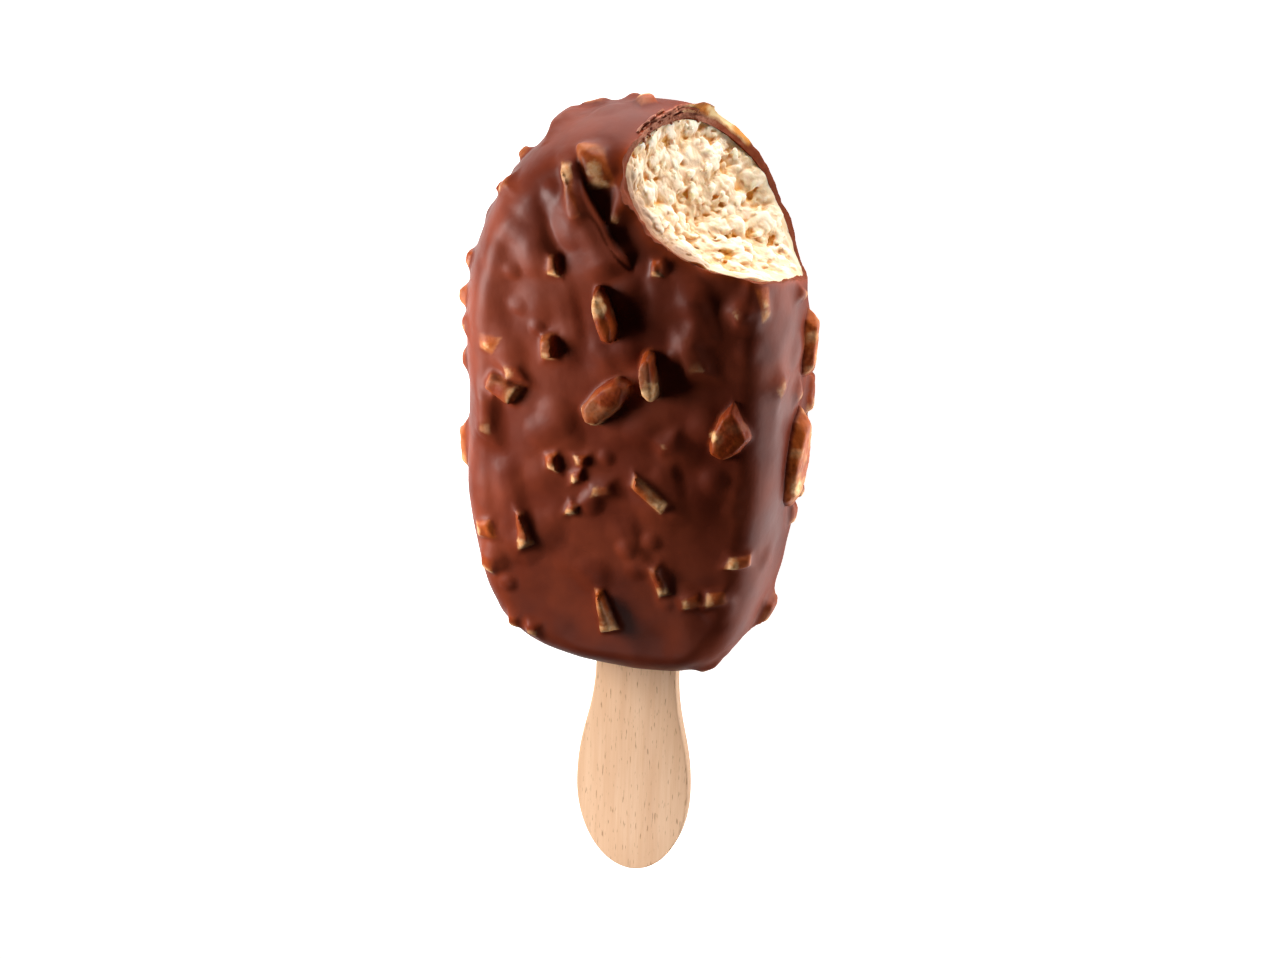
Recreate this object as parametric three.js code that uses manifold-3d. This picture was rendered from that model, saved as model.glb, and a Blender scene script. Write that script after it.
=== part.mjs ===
// An ice cream bar on a flat wooden stick, lying on its back: a chocolate shell with chopped almonds,
// the ice cream inside it, bitten into at the top right, and the contoured stick that carries it.
//
// Millimetres. While it is built, the bar's middle is the origin: X across, Y along (the stick points to -Y) and
// Z up, out of the shown face. At the end the whole group is set down on Z = 0, centred on X and Y.

import * as THREE from "three";
import { mergeVertices } from "three/addons/utils/BufferGeometryUtils.js";
import Module from "manifold-3d";

const wasm = await Module();
wasm.setup();

// ---------------------------------------------------------------- driving dimensions

const BAR = {
  length: 83.7,
  width: 47.7,
  thickness: 25, // between the crowns of the two faces
  widestAt: 0.621, // share of the length that lies below the widest line
  topPower: 2.25, // superellipse powers of the rounder top half and the squarer bottom half
  bottomPower: 3.5,
  topLean: 1.4, // how far the top and the bottom end lean to +X
  bottomLean: 0.9,
  edge: 5.6, // width of the rounded edge between a face and the flank
  edgePower: 2.2,
  flankPower: 2.8,
  crown: 1, // how far each face swells in its middle
};
const COAT = 1.25; // chocolate
const COAT_TOP_EXTRA = 1.5; // the coat pools thicker at the top end
const GAP = 0.3; // between neighbouring pieces
const FLOOR = -14.2; // the level that the bar's back rests on, below its middle

const STICK = {
  tip: -78.7, // outer end
  length: 94,
  thickness: 2,
  paddle: 17.5, // widest part
  neck: 12.5,
  paddleArc: 14, // length of the rounded outer end
  taper: 20.4, // length over which the paddle narrows to the neck
  offset: 1.75, // the stick sits a little to the right of the middle
};

// The bite is a scoop. Its height is taken along a slanted normal, above a point of the bar, and blends between
// an arc across the shown face and an arc across the back: [middle height, slope, curve].
const BITE = {
  centre: new THREE.Vector3(12.5, 28.4, 0.7),
  normal: new THREE.Vector3(0.72, 0.65, 0.24).normalize(),
  halfDepth: 12, // from the scoop's middle to its front and back arcs
  halfSpan: 16,
  bowl: 4, // how much deeper the scoop is in its middle
  frontArc: [-1.5, 0.49, 0.04],
  backArc: [0.75, -0.2, -0.012],
  lift: 30, // the cutting block reaches this far out
  ledge: 1.7, // the thick coat at the top end breaks off this much later than the ice cream
  ledgeFrom: 10.5, // distances from the scoop's middle between which the ledge grows to its full size
  ledgeTo: 14,
  ledgeFront: 6, // distances towards the shown face between which it dies away
  ledgeEnd: 10,
  scooped: 0.35, // how far the ice cream lies under the coat's broken edge
  sideSlope: 0.9, // how steeply the cut rises beyond the scoop's left end
  blockUp: 20, // half sizes of the cutting block, along and across the scoop's rise
  blockAcross: 25,
  coreCell: 1.1, // sizes of the cutting block's squares
  shellCell: 2,
};
const BREAK = { height: 0.35, cell: 2.6, salt: 9 }; // unevenness of the coat's broken edge
const CRAG_SIZES = [[4.6, 1.1], [2.3, 0.75], [1.2, 0.35]]; // [cell, height] of the crumbly ice cream's lumps

// Chopped almond pieces: { at: rough place, rise: how far it stands proud, turn: degrees from the bar's length
// towards its right, long and wide: its size }. The large ones have an outline instead, [across, along].
const LARGE_ALMONDS = {
  almond_face_upper: {
    at: [-0.8, 15.7, 12],
    rise: 3.3,
    turn: -18,
    outline: [[-1.1, -4.2], [0.6, -4.7], [1.5, -2.5], [1.3, 1.2], [0.7, 4.3], [-0.6, 4.7], [-1.5, 2], [-1.4, -1.5]],
  },
  almond_face_middle: {
    at: [5.8, 7.6, 12],
    rise: 3,
    turn: -6,
    outline: [[-0.9, -3.2], [0.5, -4.3], [1.5, -3.2], [1.3, 0.8], [0.9, 3.9], [-0.3, 4.4], [-1.3, 2], [-1.2, -1]],
  },
  almond_face_centre: {
    at: [0, 3, 12],
    rise: 2.6,
    turn: 39,
    outline: [
      [-1.9, -4.2], [-0.2, -5.4], [1.6, -4.4], [2.3, -1.5], [2.2, 2], [1, 5], [-0.9, 5.3], [-2.2, 2.4], [-2.4, -1],
    ],
  },
  almond_face_right: {
    at: [17.6, 0.4, 12],
    rise: 2,
    turn: 0,
    outline: [[0.6, 5.2], [2.3, 2.6], [3.5, -0.6], [1.6, -3.2], [-0.9, -4.9], [-3, -3.8], [-2.8, -0.6], [-1.2, 3]],
  },
  almond_flank_upper: {
    at: [24, 9, -3.5],
    rise: 1.8,
    turn: 0,
    outline: [[-1.6, -4.6], [0.4, -5.7], [2.2, -4.3], [2.5, 0.2], [1.9, 4.2], [0.3, 5.7], [-1.6, 4.6], [-2.4, 0.6]],
  },
  almond_flank_lower: {
    at: [24, -7, 0],
    rise: 2.1,
    turn: 15,
    outline: [
      [-2, -6.6], [0.6, -7.8], [2.6, -6], [3.4, -1.5], [3.2, 3.2], [1.8, 6.6], [-0.4, 7.6], [-2.6, 5.4], [-3.4, 0.8],
      [-3.2, -3.6],
    ],
  },
};
const FACE_CHIPS = [
  { at: [-3.6, 37, 11], long: 6.5, wide: 4.2, rise: 1.9, turn: -16 },
  { at: [-5.6, 31.4, 12], long: 10.7, wide: 2.4, rise: 2.8, turn: -24 },
  { at: [-9, 9.5, 12], long: 4.5, wide: 2.4, rise: 2.3, turn: -2 },
  { at: [-19, 8, 12], long: 3, wide: 2.8, rise: 1.4, turn: 20 },
  { at: [-16, 2, 12], long: 6.2, wide: 3.4, rise: 1.8, turn: -70 },
  { at: [-14.5, 4.6, 12], long: 2.4, wide: 1.8, rise: 0.8, turn: 79 },
  { at: [6.3, 23.4, 12], long: 2.6, wide: 1.4, rise: 1.2, turn: -3 },
  { at: [0.6, 31.7, 12], long: 6, wide: 1.6, rise: 1.0, turn: 19 },
  { at: [-8.8, 21.6, 12], long: 3.5, wide: 1.6, rise: 1.1, turn: -2 },
  { at: [21.2, 19.5, 10], long: 5.5, wide: 2.3, rise: 1.2, turn: -18 },
  { at: [18.3, 18.6, 12], long: 1.5, wide: 1.3, rise: 0.7, turn: 30 },
  { at: [11.8, 11.7, 12], long: 6.6, wide: 1.8, rise: 0.9, turn: -12 },
  { at: [23, 6.5, 7], long: 2.8, wide: 2.2, rise: 1.1, turn: 40 },
  { at: [-8.2, -7.9, 12], long: 2.8, wide: 1.7, rise: 1.3, turn: 0 },
  { at: [-3.8, -7.1, 12], long: 2.2, wide: 1.5, rise: 1.0, turn: 80 },
  { at: [-4.4, -9.7, 12], long: 1.9, wide: 1.5, rise: 0.9, turn: 59 },
  { at: [-0.6, -11.1, 12], long: 3.3, wide: 1.3, rise: 0.7, turn: 80 },
  { at: [9, -2.4, 12], long: 2.3, wide: 1.1, rise: 0.7, turn: 62 },
  { at: [6.5, -10.6, 12], long: 6.6, wide: 2.2, rise: 2.1, turn: -62 },
  { at: [-5, -14.7, 12], long: 1.8, wide: 1.3, rise: 1.0, turn: 20 },
  { at: [-12.2, -19.4, 12], long: 5.6, wide: 2.1, rise: 1.9, turn: -13 },
  { at: [-18.2, -20.7, 11], long: 3.7, wide: 2.8, rise: 1.1, turn: 74 },
  { at: [-17.7, -26, 11], long: 3.4, wide: 2.6, rise: 1.1, turn: 7 },
  { at: [0.2, -30.1, 12], long: 7.5, wide: 2.1, rise: 2.3, turn: -16 },
  { at: [8.2, -24, 12], long: 5.6, wide: 1.8, rise: 1.3, turn: -19 },
  { at: [19.7, -19.7, 11], long: 3.4, wide: 1.8, rise: 0.9, turn: 87 },
  { at: [13.2, -26.6, 12], long: 3, wide: 1.6, rise: 0.8, turn: 62 },
  { at: [16.9, -25.6, 12], long: 3.2, wide: 1.9, rise: 0.9, turn: 77 },
  { at: [-13.8, -34.5, 10], long: 2.6, wide: 1.4, rise: 0.9, turn: 15 },
  { at: [-10.9, -35.2, 11], long: 1.9, wide: 1.3, rise: 0.8, turn: 3 },
  { at: [-19, -2.9, 12], long: 5.9, wide: 1.5, rise: 0.6, turn: 0 },
];
const FLANK_CHIPS = [
  { at: [-24, 12.4, 5], long: 4.2, wide: 3.4, rise: 2.3, turn: 0 },
  { at: [-23, 18.3, 5], long: 2.6, wide: 2.2, rise: 1.3, turn: 0 },
  { at: [-23, 9.5, 8], long: 2.2, wide: 1.8, rise: 1.0, turn: 0 },
  { at: [-24, 3, 6], long: 2.4, wide: 2.2, rise: 1.1, turn: 0 },
  { at: [-24, -11.4, 4], long: 6.2, wide: 3.4, rise: 1.9, turn: 0 },
  { at: [-17.5, 30.8, 8], long: 3.2, wide: 1.6, rise: 0.9, turn: 40 },
  { at: [-12, 38.2, -1], long: 5.5, wide: 4.2, rise: 1.5, turn: 70 },
  { at: [-0.5, 42, -2], long: 4, wide: 3.4, rise: 1.3, turn: 60 },
  { at: [23, -13.2, -3], long: 2.6, wide: 2.4, rise: 1.6, turn: 20 },
  { at: [23, -17, -2.5], long: 3, wide: 2.6, rise: 1.0, turn: 0 },
  { at: [21, -31.5, 0], long: 4.2, wide: 3.4, rise: 1.8, turn: 0 },
  { at: [14.5, -39, 7], long: 2.6, wide: 1.8, rise: 0.8, turn: 60 },
  { at: [9.5, 39.6, -7.5], long: 9.5, wide: 4, rise: 0.9, turn: 0 },
  { at: [17, 35, -8], long: 4.6, wide: 3, rise: 0.9, turn: 60 },
  { at: [20, 30.5, -8], long: 3.2, wide: 2.4, rise: 0.7, turn: 20 },
  { at: [24, 23.5, -4], long: 2.6, wide: 1.8, rise: 0.9, turn: 80 },
];
// The pieces that the bar rests on: they reach the floor, which cuts them flat.
const FEET = [
  { at: [-13, 22, -12], long: 6.5, wide: 4.4, rise: 3, turn: 25 },
  { at: [12.5, 7, -12], long: 6, wide: 4.2, rise: 3, turn: -40 },
  { at: [-12, -23, -12], long: 6.4, wide: 4, rise: 3, turn: -20 },
  { at: [13, -21, -12], long: 6.2, wide: 4.4, rise: 3, turn: 65 },
];
const HIDDEN_CHIPS = { back: 24, flank: 18, seed: 41, spacing: 4.6 };
const BURY = 0.8; // how far the almonds sit in the coat
const CHIP_SHAPE = {
  spread: 0.28, // unevenness of the outline
  lean: 0.25, // how far the top may sit to one side, as a share of the width
  slope: 0.3, // how much higher one end may be, as a share of the rise
  slimTaper: 0.62, // size of the top, as a share of the foot
  broadTaper: 0.78,
  broad: 0.5, // pieces with a larger share of width to length are broad
};
const ALMOND_SHAPE = {
  taper: [1, 0.94, 0.72], // sizes of the foot, the waist and the top
  unevenness: 0.06,
  droop: 0.2, // how far a corner may sink, as a share of the rise
};

// ---------------------------------------------------------------- helpers

function seededRandom(seed) {
  let state = seed;
  return () => {
    state = (state + 0x6d2b79f5) | 0;
    let mixed = Math.imul(state ^ (state >>> 15), 1 | state);
    mixed = (mixed + Math.imul(mixed ^ (mixed >>> 7), 61 | mixed)) ^ mixed;
    return ((mixed ^ (mixed >>> 14)) >>> 0) / 4294967296;
  };
}

// Vertices that share a place become one, so that the faces join into a closed surface.
function welded(geometry) {
  geometry.deleteAttribute("normal");
  geometry.deleteAttribute("uv");
  return mergeVertices(geometry, 1e-4);
}

function toSolid(geometry) {
  const clean = welded(geometry);
  const vertProperties = Float32Array.from(clean.attributes.position.array);
  const triVerts = Uint32Array.from(clean.index.array);
  const solid = new wasm.Manifold(new wasm.Mesh({ numProp: 3, vertProperties, triVerts }));
  if (solid.volume() > 0) return solid;
  const turned = triVerts.map((_, i) => triVerts[i - (i % 3) + 2 - (i % 3)]);
  return new wasm.Manifold(new wasm.Mesh({ numProp: 3, vertProperties, triVerts: turned }));
}

function toGeometry(solid) {
  const { vertProperties, triVerts, numProp } = solid.getMesh();
  const geometry = new THREE.BufferGeometry();
  const positions = new Float32Array((vertProperties.length / numProp) * 3);
  for (let i = 0; i < positions.length / 3; i++) {
    for (let axis = 0; axis < 3; axis++) positions[i * 3 + axis] = vertProperties[i * numProp + axis];
  }
  geometry.setAttribute("position", new THREE.BufferAttribute(positions, 3));
  geometry.setIndex(Array.from(triVerts));
  geometry.computeVertexNormals();
  return geometry;
}

function namedMesh(name, solid, material) {
  const mesh = new THREE.Mesh(toGeometry(solid), material);
  mesh.name = name;
  return mesh;
}

const signedPower = (value, power) => Math.sign(value) * Math.abs(value) ** power;
const clamp = THREE.MathUtils.clamp;

// ---------------------------------------------------------------- the bar's body

// A point of the bar's outline, seen from the front, drawn in by an inset.
function outlinePoint(angle, inset, topExtra) {
  const c = Math.cos(angle);
  const s = Math.sin(angle);
  const upper = s >= 0;
  const power = 2 / (upper ? BAR.topPower : BAR.bottomPower);
  const reach = upper
    ? BAR.length * (1 - BAR.widestAt) - inset - topExtra
    : BAR.length * BAR.widestAt - inset;
  const lean = upper ? BAR.topLean : BAR.bottomLean;
  return new THREE.Vector2(
    (BAR.width / 2 - inset) * signedPower(c, power) + lean * s * s,
    reach * signedPower(s, power) + BAR.length * (BAR.widestAt - 0.5),
  );
}

// How far along its radius an outline point's tangent line stands from the middle.
function supportLength(angle, inset, topExtra) {
  const step = 0.01;
  const point = outlinePoint(angle, inset, topExtra);
  const tangent = outlinePoint(angle + step, inset, topExtra).sub(outlinePoint(angle - step, inset, topExtra));
  const normal = new THREE.Vector2(tangent.y, -tangent.x).normalize();
  return Math.max(point.dot(normal), 8);
}

// The body is a sphere's grid, remapped: its rows run over the face, round the edge, down the flank and back.
function barGeometry({ inset = 0, topExtra = 0, around = 72, faceRows = 3, edgeRows = 6 }) {
  const rows = 2 * (faceRows + edgeRows);
  const geometry = new THREE.SphereGeometry(1, around, rows);
  const position = geometry.attributes.position;
  const equator = BAR.thickness / 2 - BAR.crown - inset;
  for (let row = 0; row <= rows; row++) {
    const fromPole = Math.min(row, rows - row);
    const side = row <= rows / 2 ? 1 : -1;
    for (let column = 0; column <= around; column++) {
      const angle = (column / around) * 2 * Math.PI;
      const rim = outlinePoint(angle, inset, topExtra);
      const support = supportLength(angle, inset, topExtra);
      const faceShare = 1 - BAR.edge / support;
      let share = (faceShare * fromPole) / faceRows;
      let height = equator + BAR.crown * (1 - Math.min(1, fromPole / faceRows) ** 2);
      if (fromPole > faceRows) {
        const sweep = (1 - (fromPole - faceRows) / edgeRows) * (Math.PI / 2);
        share = 1 - (BAR.edge * (1 - Math.cos(sweep) ** (2 / BAR.edgePower))) / support;
        height = equator * Math.sin(sweep) ** (2 / BAR.flankPower);
      }
      const index = row * (around + 1) + column;
      position.setXYZ(index, rim.x * share, rim.y * share, side * height);
    }
  }
  return geometry;
}

const bodyProbe = new THREE.Mesh(
  welded(barGeometry({ around: 96, faceRows: 6, edgeRows: 10 })),
  new THREE.MeshStandardMaterial({ side: THREE.DoubleSide }),
);

// Where the line from the bar's inner plane out through a rough place meets the surface, and which way is out.
function surfaceAt(rough) {
  const middle = BAR.thickness / 2;
  const spine = new THREE.Vector3(
    clamp(rough.x, middle - BAR.width / 2, BAR.width / 2 - middle),
    clamp(rough.y, middle - BAR.length / 2, BAR.length / 2 - middle),
    0,
  );
  const direction = rough.clone().sub(spine).normalize();
  const ray = new THREE.Raycaster(spine, direction);
  const hit = ray.intersectObject(bodyProbe)[0];
  const normal = hit.face.normal.clone();
  if (normal.dot(direction) < 0) normal.negate();
  return { point: hit.point, normal };
}

// ---------------------------------------------------------------- the bite

const BITE_UP = new THREE.Vector3(0, 0, 1).addScaledVector(BITE.normal, -BITE.normal.z).normalize();
const BITE_ACROSS = new THREE.Vector3().crossVectors(BITE.normal, BITE_UP);

const arcHeight = ([middle, slope, curve], along) => middle + slope * along + curve * along * along;

function biteHeight(up, across) {
  const toFront = (up + BITE.halfDepth) / (2 * BITE.halfDepth);
  const along = Math.min(across, BITE.halfSpan - 1);
  const rim = THREE.MathUtils.lerp(arcHeight(BITE.backArc, along), arcHeight(BITE.frontArc, along), toFront);
  const bowl =
    clamp(1 - (up / BITE.halfDepth) ** 2, 0, 1) * clamp(1 - (across / BITE.halfSpan) ** 2, 0, 1);
  const beyond = Math.max(0, across - along);
  return Math.min(rim - BITE.bowl * bowl + BITE.sideSlope * beyond, BITE.lift - 5);
}

// Smooth noise between -1 and 1, from a hashed lattice.
function latticeNoise(x, y, salt) {
  const corner = (i, j) => {
    const wave = Math.sin(i * 127.1 + j * 311.7 + salt * 74.7) * 43758.5453;
    return 2 * (wave - Math.floor(wave)) - 1;
  };
  const i = Math.floor(x);
  const j = Math.floor(y);
  const u = THREE.MathUtils.smoothstep(x - i, 0, 1);
  const v = THREE.MathUtils.smoothstep(y - j, 0, 1);
  const low = THREE.MathUtils.lerp(corner(i, j), corner(i + 1, j), u);
  const high = THREE.MathUtils.lerp(corner(i, j + 1), corner(i + 1, j + 1), u);
  return THREE.MathUtils.lerp(low, high, v);
}

function cragHeight(up, across) {
  let height = 0;
  CRAG_SIZES.forEach(([cell, amount], octave) => {
    height += amount * latticeNoise(up / cell, across / cell, octave);
  });
  return height;
}

// The block that takes the bite away: its underside follows the scoop, lowered by a rule of the caller's.
function biteBlock(cell, lowered) {
  const width = 2 * BITE.blockUp;
  const depth = 2 * BITE.blockAcross;
  const geometry = new THREE.BoxGeometry(width, depth, 2, Math.round(width / cell), Math.round(depth / cell), 1);
  const position = geometry.attributes.position;
  for (let i = 0; i < position.count; i++) {
    const up = position.getX(i);
    const across = position.getY(i);
    const height = position.getZ(i) > 0 ? BITE.lift : biteHeight(up, across) - lowered(up, across);
    const place = BITE.centre.clone();
    place.addScaledVector(BITE.normal, height);
    place.addScaledVector(BITE_UP, up);
    place.addScaledVector(BITE_ACROSS, across);
    position.setXYZ(i, place.x, place.y, place.z);
  }
  return toSolid(geometry);
}

// ---------------------------------------------------------------- almonds

// A broken piece of nut: a slanting prism with uneven sides, its top smaller than its foot.
function chipGeometry(spec, random, sides) {
  const height = spec.rise + BURY;
  const taper = spec.wide / spec.long > CHIP_SHAPE.broad ? CHIP_SHAPE.broadTaper : CHIP_SHAPE.slimTaper;
  const geometry = welded(new THREE.CylinderGeometry(taper, 1, height, sides, 1));
  const position = geometry.attributes.position;
  const lean = (random() - 0.5) * CHIP_SHAPE.lean * spec.wide;
  const slope = ((random() - 0.5) * CHIP_SHAPE.slope * spec.rise) / spec.long;
  for (let i = 0; i < position.count; i++) {
    const onAxis = Math.hypot(position.getX(i), position.getZ(i)) < 0.01;
    const spread = onAxis ? 1 : 1 + CHIP_SHAPE.spread * (random() - 0.5);
    const share = position.getY(i) / height + 0.5;
    const across = (position.getX(i) * spread * spec.wide) / 2;
    const along = (position.getZ(i) * spread * spec.long) / 2;
    position.setXYZ(i, across + lean * share, along, share * (height + slope * along) - BURY);
  }
  return geometry;
}

// A large piece follows its outline and has a waist between its foot and its top.
function almondGeometry(spec, random) {
  const height = spec.rise + BURY;
  const sides = spec.outline.length;
  const geometry = welded(new THREE.CylinderGeometry(1, 1, height, sides, 2));
  const position = geometry.attributes.position;
  for (let i = 0; i < position.count; i++) {
    const share = position.getY(i) / height + 0.5;
    const onAxis = Math.hypot(position.getX(i), position.getZ(i)) < 0.01;
    const turned = Math.atan2(position.getX(i), position.getZ(i)) / (2 * Math.PI);
    const corner = Math.round(turned * sides + sides) % sides;
    const [across, along] = onAxis ? [0, 0] : spec.outline[corner];
    const taper = ALMOND_SHAPE.taper[Math.round(share * 2)] + ALMOND_SHAPE.unevenness * (random() - 0.5);
    const droop = share * ALMOND_SHAPE.droop * spec.rise * (random() - 0.5);
    position.setXYZ(i, across * taper, along * taper, share * height - BURY + droop);
  }
  return geometry;
}

function placeOnBar(spec) {
  const { point, normal } = surfaceAt(new THREE.Vector3(...spec.at));
  const reference = Math.abs(normal.y) < 0.85 ? new THREE.Vector3(0, 1, 0) : new THREE.Vector3(1, 0, 0);
  const along = reference.addScaledVector(normal, -reference.dot(normal)).normalize();
  const across = new THREE.Vector3().crossVectors(along, normal);
  const turn = THREE.MathUtils.degToRad(spec.turn);
  const turnedAlong = along.clone().multiplyScalar(Math.cos(turn)).addScaledVector(across, Math.sin(turn));
  const turnedAcross = new THREE.Vector3().crossVectors(turnedAlong, normal);
  return new THREE.Matrix4().makeBasis(turnedAcross, turnedAlong, normal).setPosition(point);
}

function placedSolid(geometry, spec) {
  return toSolid(geometry.applyMatrix4(placeOnBar(spec)));
}

// The room that a large piece takes in the coat: the piece and copies of it moved outwards and down by the gap.
function almondSocket(spec, seed) {
  let socket = placedSolid(almondGeometry(spec, seededRandom(seed)), spec);
  const shift = GAP + 0.05;
  for (const [across, along] of [[-1, -1], [-1, 1], [1, -1], [1, 1]]) {
    const moved = almondGeometry(spec, seededRandom(seed));
    moved.translate(across * shift, along * shift, -shift);
    socket = socket.add(placedSolid(moved, spec));
  }
  return socket;
}

function isBittenAway(point, margin) {
  const offset = point.clone().sub(BITE.centre);
  return offset.dot(BITE.normal) > biteHeight(offset.dot(BITE_UP), offset.dot(BITE_ACROSS)) - margin;
}

// Pieces for the back and the hidden flanks, as thickly strewn as on the shown face.
function hiddenChips() {
  const random = seededRandom(HIDDEN_CHIPS.seed);
  const chips = [];
  const taken = [...FEET, ...FLANK_CHIPS, ...Object.values(LARGE_ALMONDS)].map(
    (spec) => surfaceAt(new THREE.Vector3(...spec.at)).point,
  );
  const wanted = HIDDEN_CHIPS.back + HIDDEN_CHIPS.flank;
  for (let attempt = 0; attempt < 900 && chips.length < wanted; attempt++) {
    const onBack = chips.length < HIDDEN_CHIPS.back;
    const angle = 2 * Math.PI * random();
    const rim = outlinePoint(angle, 0, 0);
    const share = onBack ? 0.85 * Math.sqrt(random()) : 1;
    const depth = onBack ? -12 : -8 + 9 * random();
    const rough = new THREE.Vector3(rim.x * share, rim.y * share, depth);
    const long = 2.2 + 4.2 * random() ** 1.5;
    const wide = long * (0.35 + 0.4 * random());
    const rise = onBack ? 0.6 + 0.7 * random() : 0.7 + 0.9 * random();
    const turn = 180 * random();
    const place = surfaceAt(rough).point;
    const nearStick = rough.y < -38 && Math.abs(rough.x - STICK.offset) < 10;
    const crowded = taken.some((other) => other.distanceTo(place) < HIDDEN_CHIPS.spacing);
    if (crowded || nearStick || isBittenAway(place, 3)) continue;
    taken.push(place);
    chips.push({ at: rough.toArray(), long, wide, rise, turn });
  }
  return chips;
}

// ---------------------------------------------------------------- the stick

// Outline of the stick, from a shape of arcs and splines: round paddle, waist, straight neck and round inner end.
function stickSolid(grow) {
  const paddle = STICK.paddle / 2 + grow;
  const neck = STICK.neck / 2 + grow;
  const shape = new THREE.Shape();
  const tip = STICK.tip - grow;
  const widest = STICK.tip + STICK.paddleArc;
  const narrow = widest + STICK.taper;
  const inner = STICK.tip + STICK.length + grow;
  shape.moveTo(0, tip);
  shape.absellipse(0, widest, paddle, widest - tip, -Math.PI / 2, 0, false);
  shape.bezierCurveTo(paddle, widest + 0.45 * STICK.taper, neck, narrow - 0.45 * STICK.taper, neck, narrow);
  shape.lineTo(neck, inner - neck);
  shape.absarc(0, inner - neck, neck, 0, Math.PI, false);
  shape.lineTo(-neck, narrow);
  shape.bezierCurveTo(-neck, narrow - 0.45 * STICK.taper, -paddle, widest + 0.45 * STICK.taper, -paddle, widest);
  shape.absellipse(0, widest, paddle, widest - tip, Math.PI, 1.5 * Math.PI, false);
  const bevel = 0.3;
  const geometry = new THREE.ExtrudeGeometry(shape, {
    depth: STICK.thickness + 2 * grow - 2 * bevel,
    curveSegments: 8,
    bevelEnabled: true,
    bevelThickness: bevel,
    bevelSize: bevel,
    bevelOffset: -bevel,
    bevelSegments: 1,
  });
  geometry.translate(STICK.offset, 0, -(STICK.thickness + 2 * grow) / 2 + bevel);
  return toSolid(geometry);
}

// ---------------------------------------------------------------- pieces

function buildCore() {
  const inset = COAT + GAP;
  const body = toSolid(barGeometry({ inset, topExtra: COAT_TOP_EXTRA, around: 44, faceRows: 2, edgeRows: 3 }));
  const crags = biteBlock(BITE.coreCell, (up, across) => BITE.scooped - cragHeight(up, across));
  return body.subtract(crags).subtract(stickSolid(GAP));
}

function buildShell(largeSockets) {
  const random = seededRandom(7);
  let coat = toSolid(barGeometry({ around: 72, faceRows: 2, edgeRows: 5 }));
  for (const spec of [...FACE_CHIPS, ...FLANK_CHIPS, ...FEET, ...hiddenChips()]) {
    coat = coat.add(placedSolid(chipGeometry(spec, random, spec.long > 5 ? 6 : 5), spec));
  }
  const cavity = toSolid(
    barGeometry({ inset: COAT, topExtra: COAT_TOP_EXTRA, around: 44, faceRows: 2, edgeRows: 3 }),
  );
  const ledge = (up, across) => {
    const grown = THREE.MathUtils.smoothstep(-across, BITE.ledgeFrom, BITE.ledgeTo);
    return BITE.ledge * grown * (1 - THREE.MathUtils.smoothstep(up, BITE.ledgeFront, BITE.ledgeEnd));
  };
  const unevenness = (up, across) =>
    BREAK.height * latticeNoise(up / BREAK.cell, across / BREAK.cell, BREAK.salt);
  const jagged = biteBlock(BITE.shellCell, (up, across) => unevenness(up, across) - ledge(up, across));
  const underFloor = new THREE.BoxGeometry(120, 200, 10).translate(0, 0, FLOOR - 5);
  coat = coat.subtract(cavity).subtract(jagged).subtract(stickSolid(GAP)).subtract(toSolid(underFloor));
  for (const socket of largeSockets) coat = coat.subtract(socket);
  return coat;
}

// The noisy cuts can leave loose crumbs, which aren't part of the piece.
function largestPiece(solid) {
  const pieces = solid.decompose();
  return pieces.reduce((best, piece) => (piece.volume() > best.volume() ? piece : best));
}

const chocolateMaterial = new THREE.MeshStandardMaterial({ color: 0x6b3322, roughness: 0.35, metalness: 0 });
const iceCreamMaterial = new THREE.MeshStandardMaterial({ color: 0xf6ecd2, roughness: 0.8, metalness: 0 });
const almondMaterial = new THREE.MeshStandardMaterial({ color: 0xb9743f, roughness: 0.5, metalness: 0 });
const woodMaterial = new THREE.MeshStandardMaterial({ color: 0xdcb98f, roughness: 0.75, metalness: 0 });

const root = new THREE.Group();
const sockets = [];
Object.entries(LARGE_ALMONDS).forEach(([name, spec], index) => {
  const seed = 100 + index;
  const almond = placedSolid(almondGeometry(spec, seededRandom(seed)), spec);
  root.add(namedMesh(name, almond, almondMaterial));
  sockets.push(almondSocket(spec, seed));
});
root.add(namedMesh("ice_cream_core", largestPiece(buildCore()), iceCreamMaterial));
root.add(namedMesh("chocolate_shell", largestPiece(buildShell(sockets)), chocolateMaterial));
root.add(namedMesh("stick", stickSolid(0), woodMaterial));

// The finished bar stands on Z = 0, centred on X and Y.
const bounds = new THREE.Box3().setFromObject(root);
const middle = bounds.getCenter(new THREE.Vector3());
root.position.set(-middle.x, -middle.y, -bounds.min.z);
root.updateMatrixWorld(true);

export default root;
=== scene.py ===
"""An ice cream bar in a chocolate coat with chopped almonds, bitten at the top, on a flat wooden stick.

Lengths in this file are millimetres and turned into metres where a mesh is made. The bar's own axes have
their origin in the bar's middle: X across, Y along (the stick points to -Y) and Z out of the shown face.
"""

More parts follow.
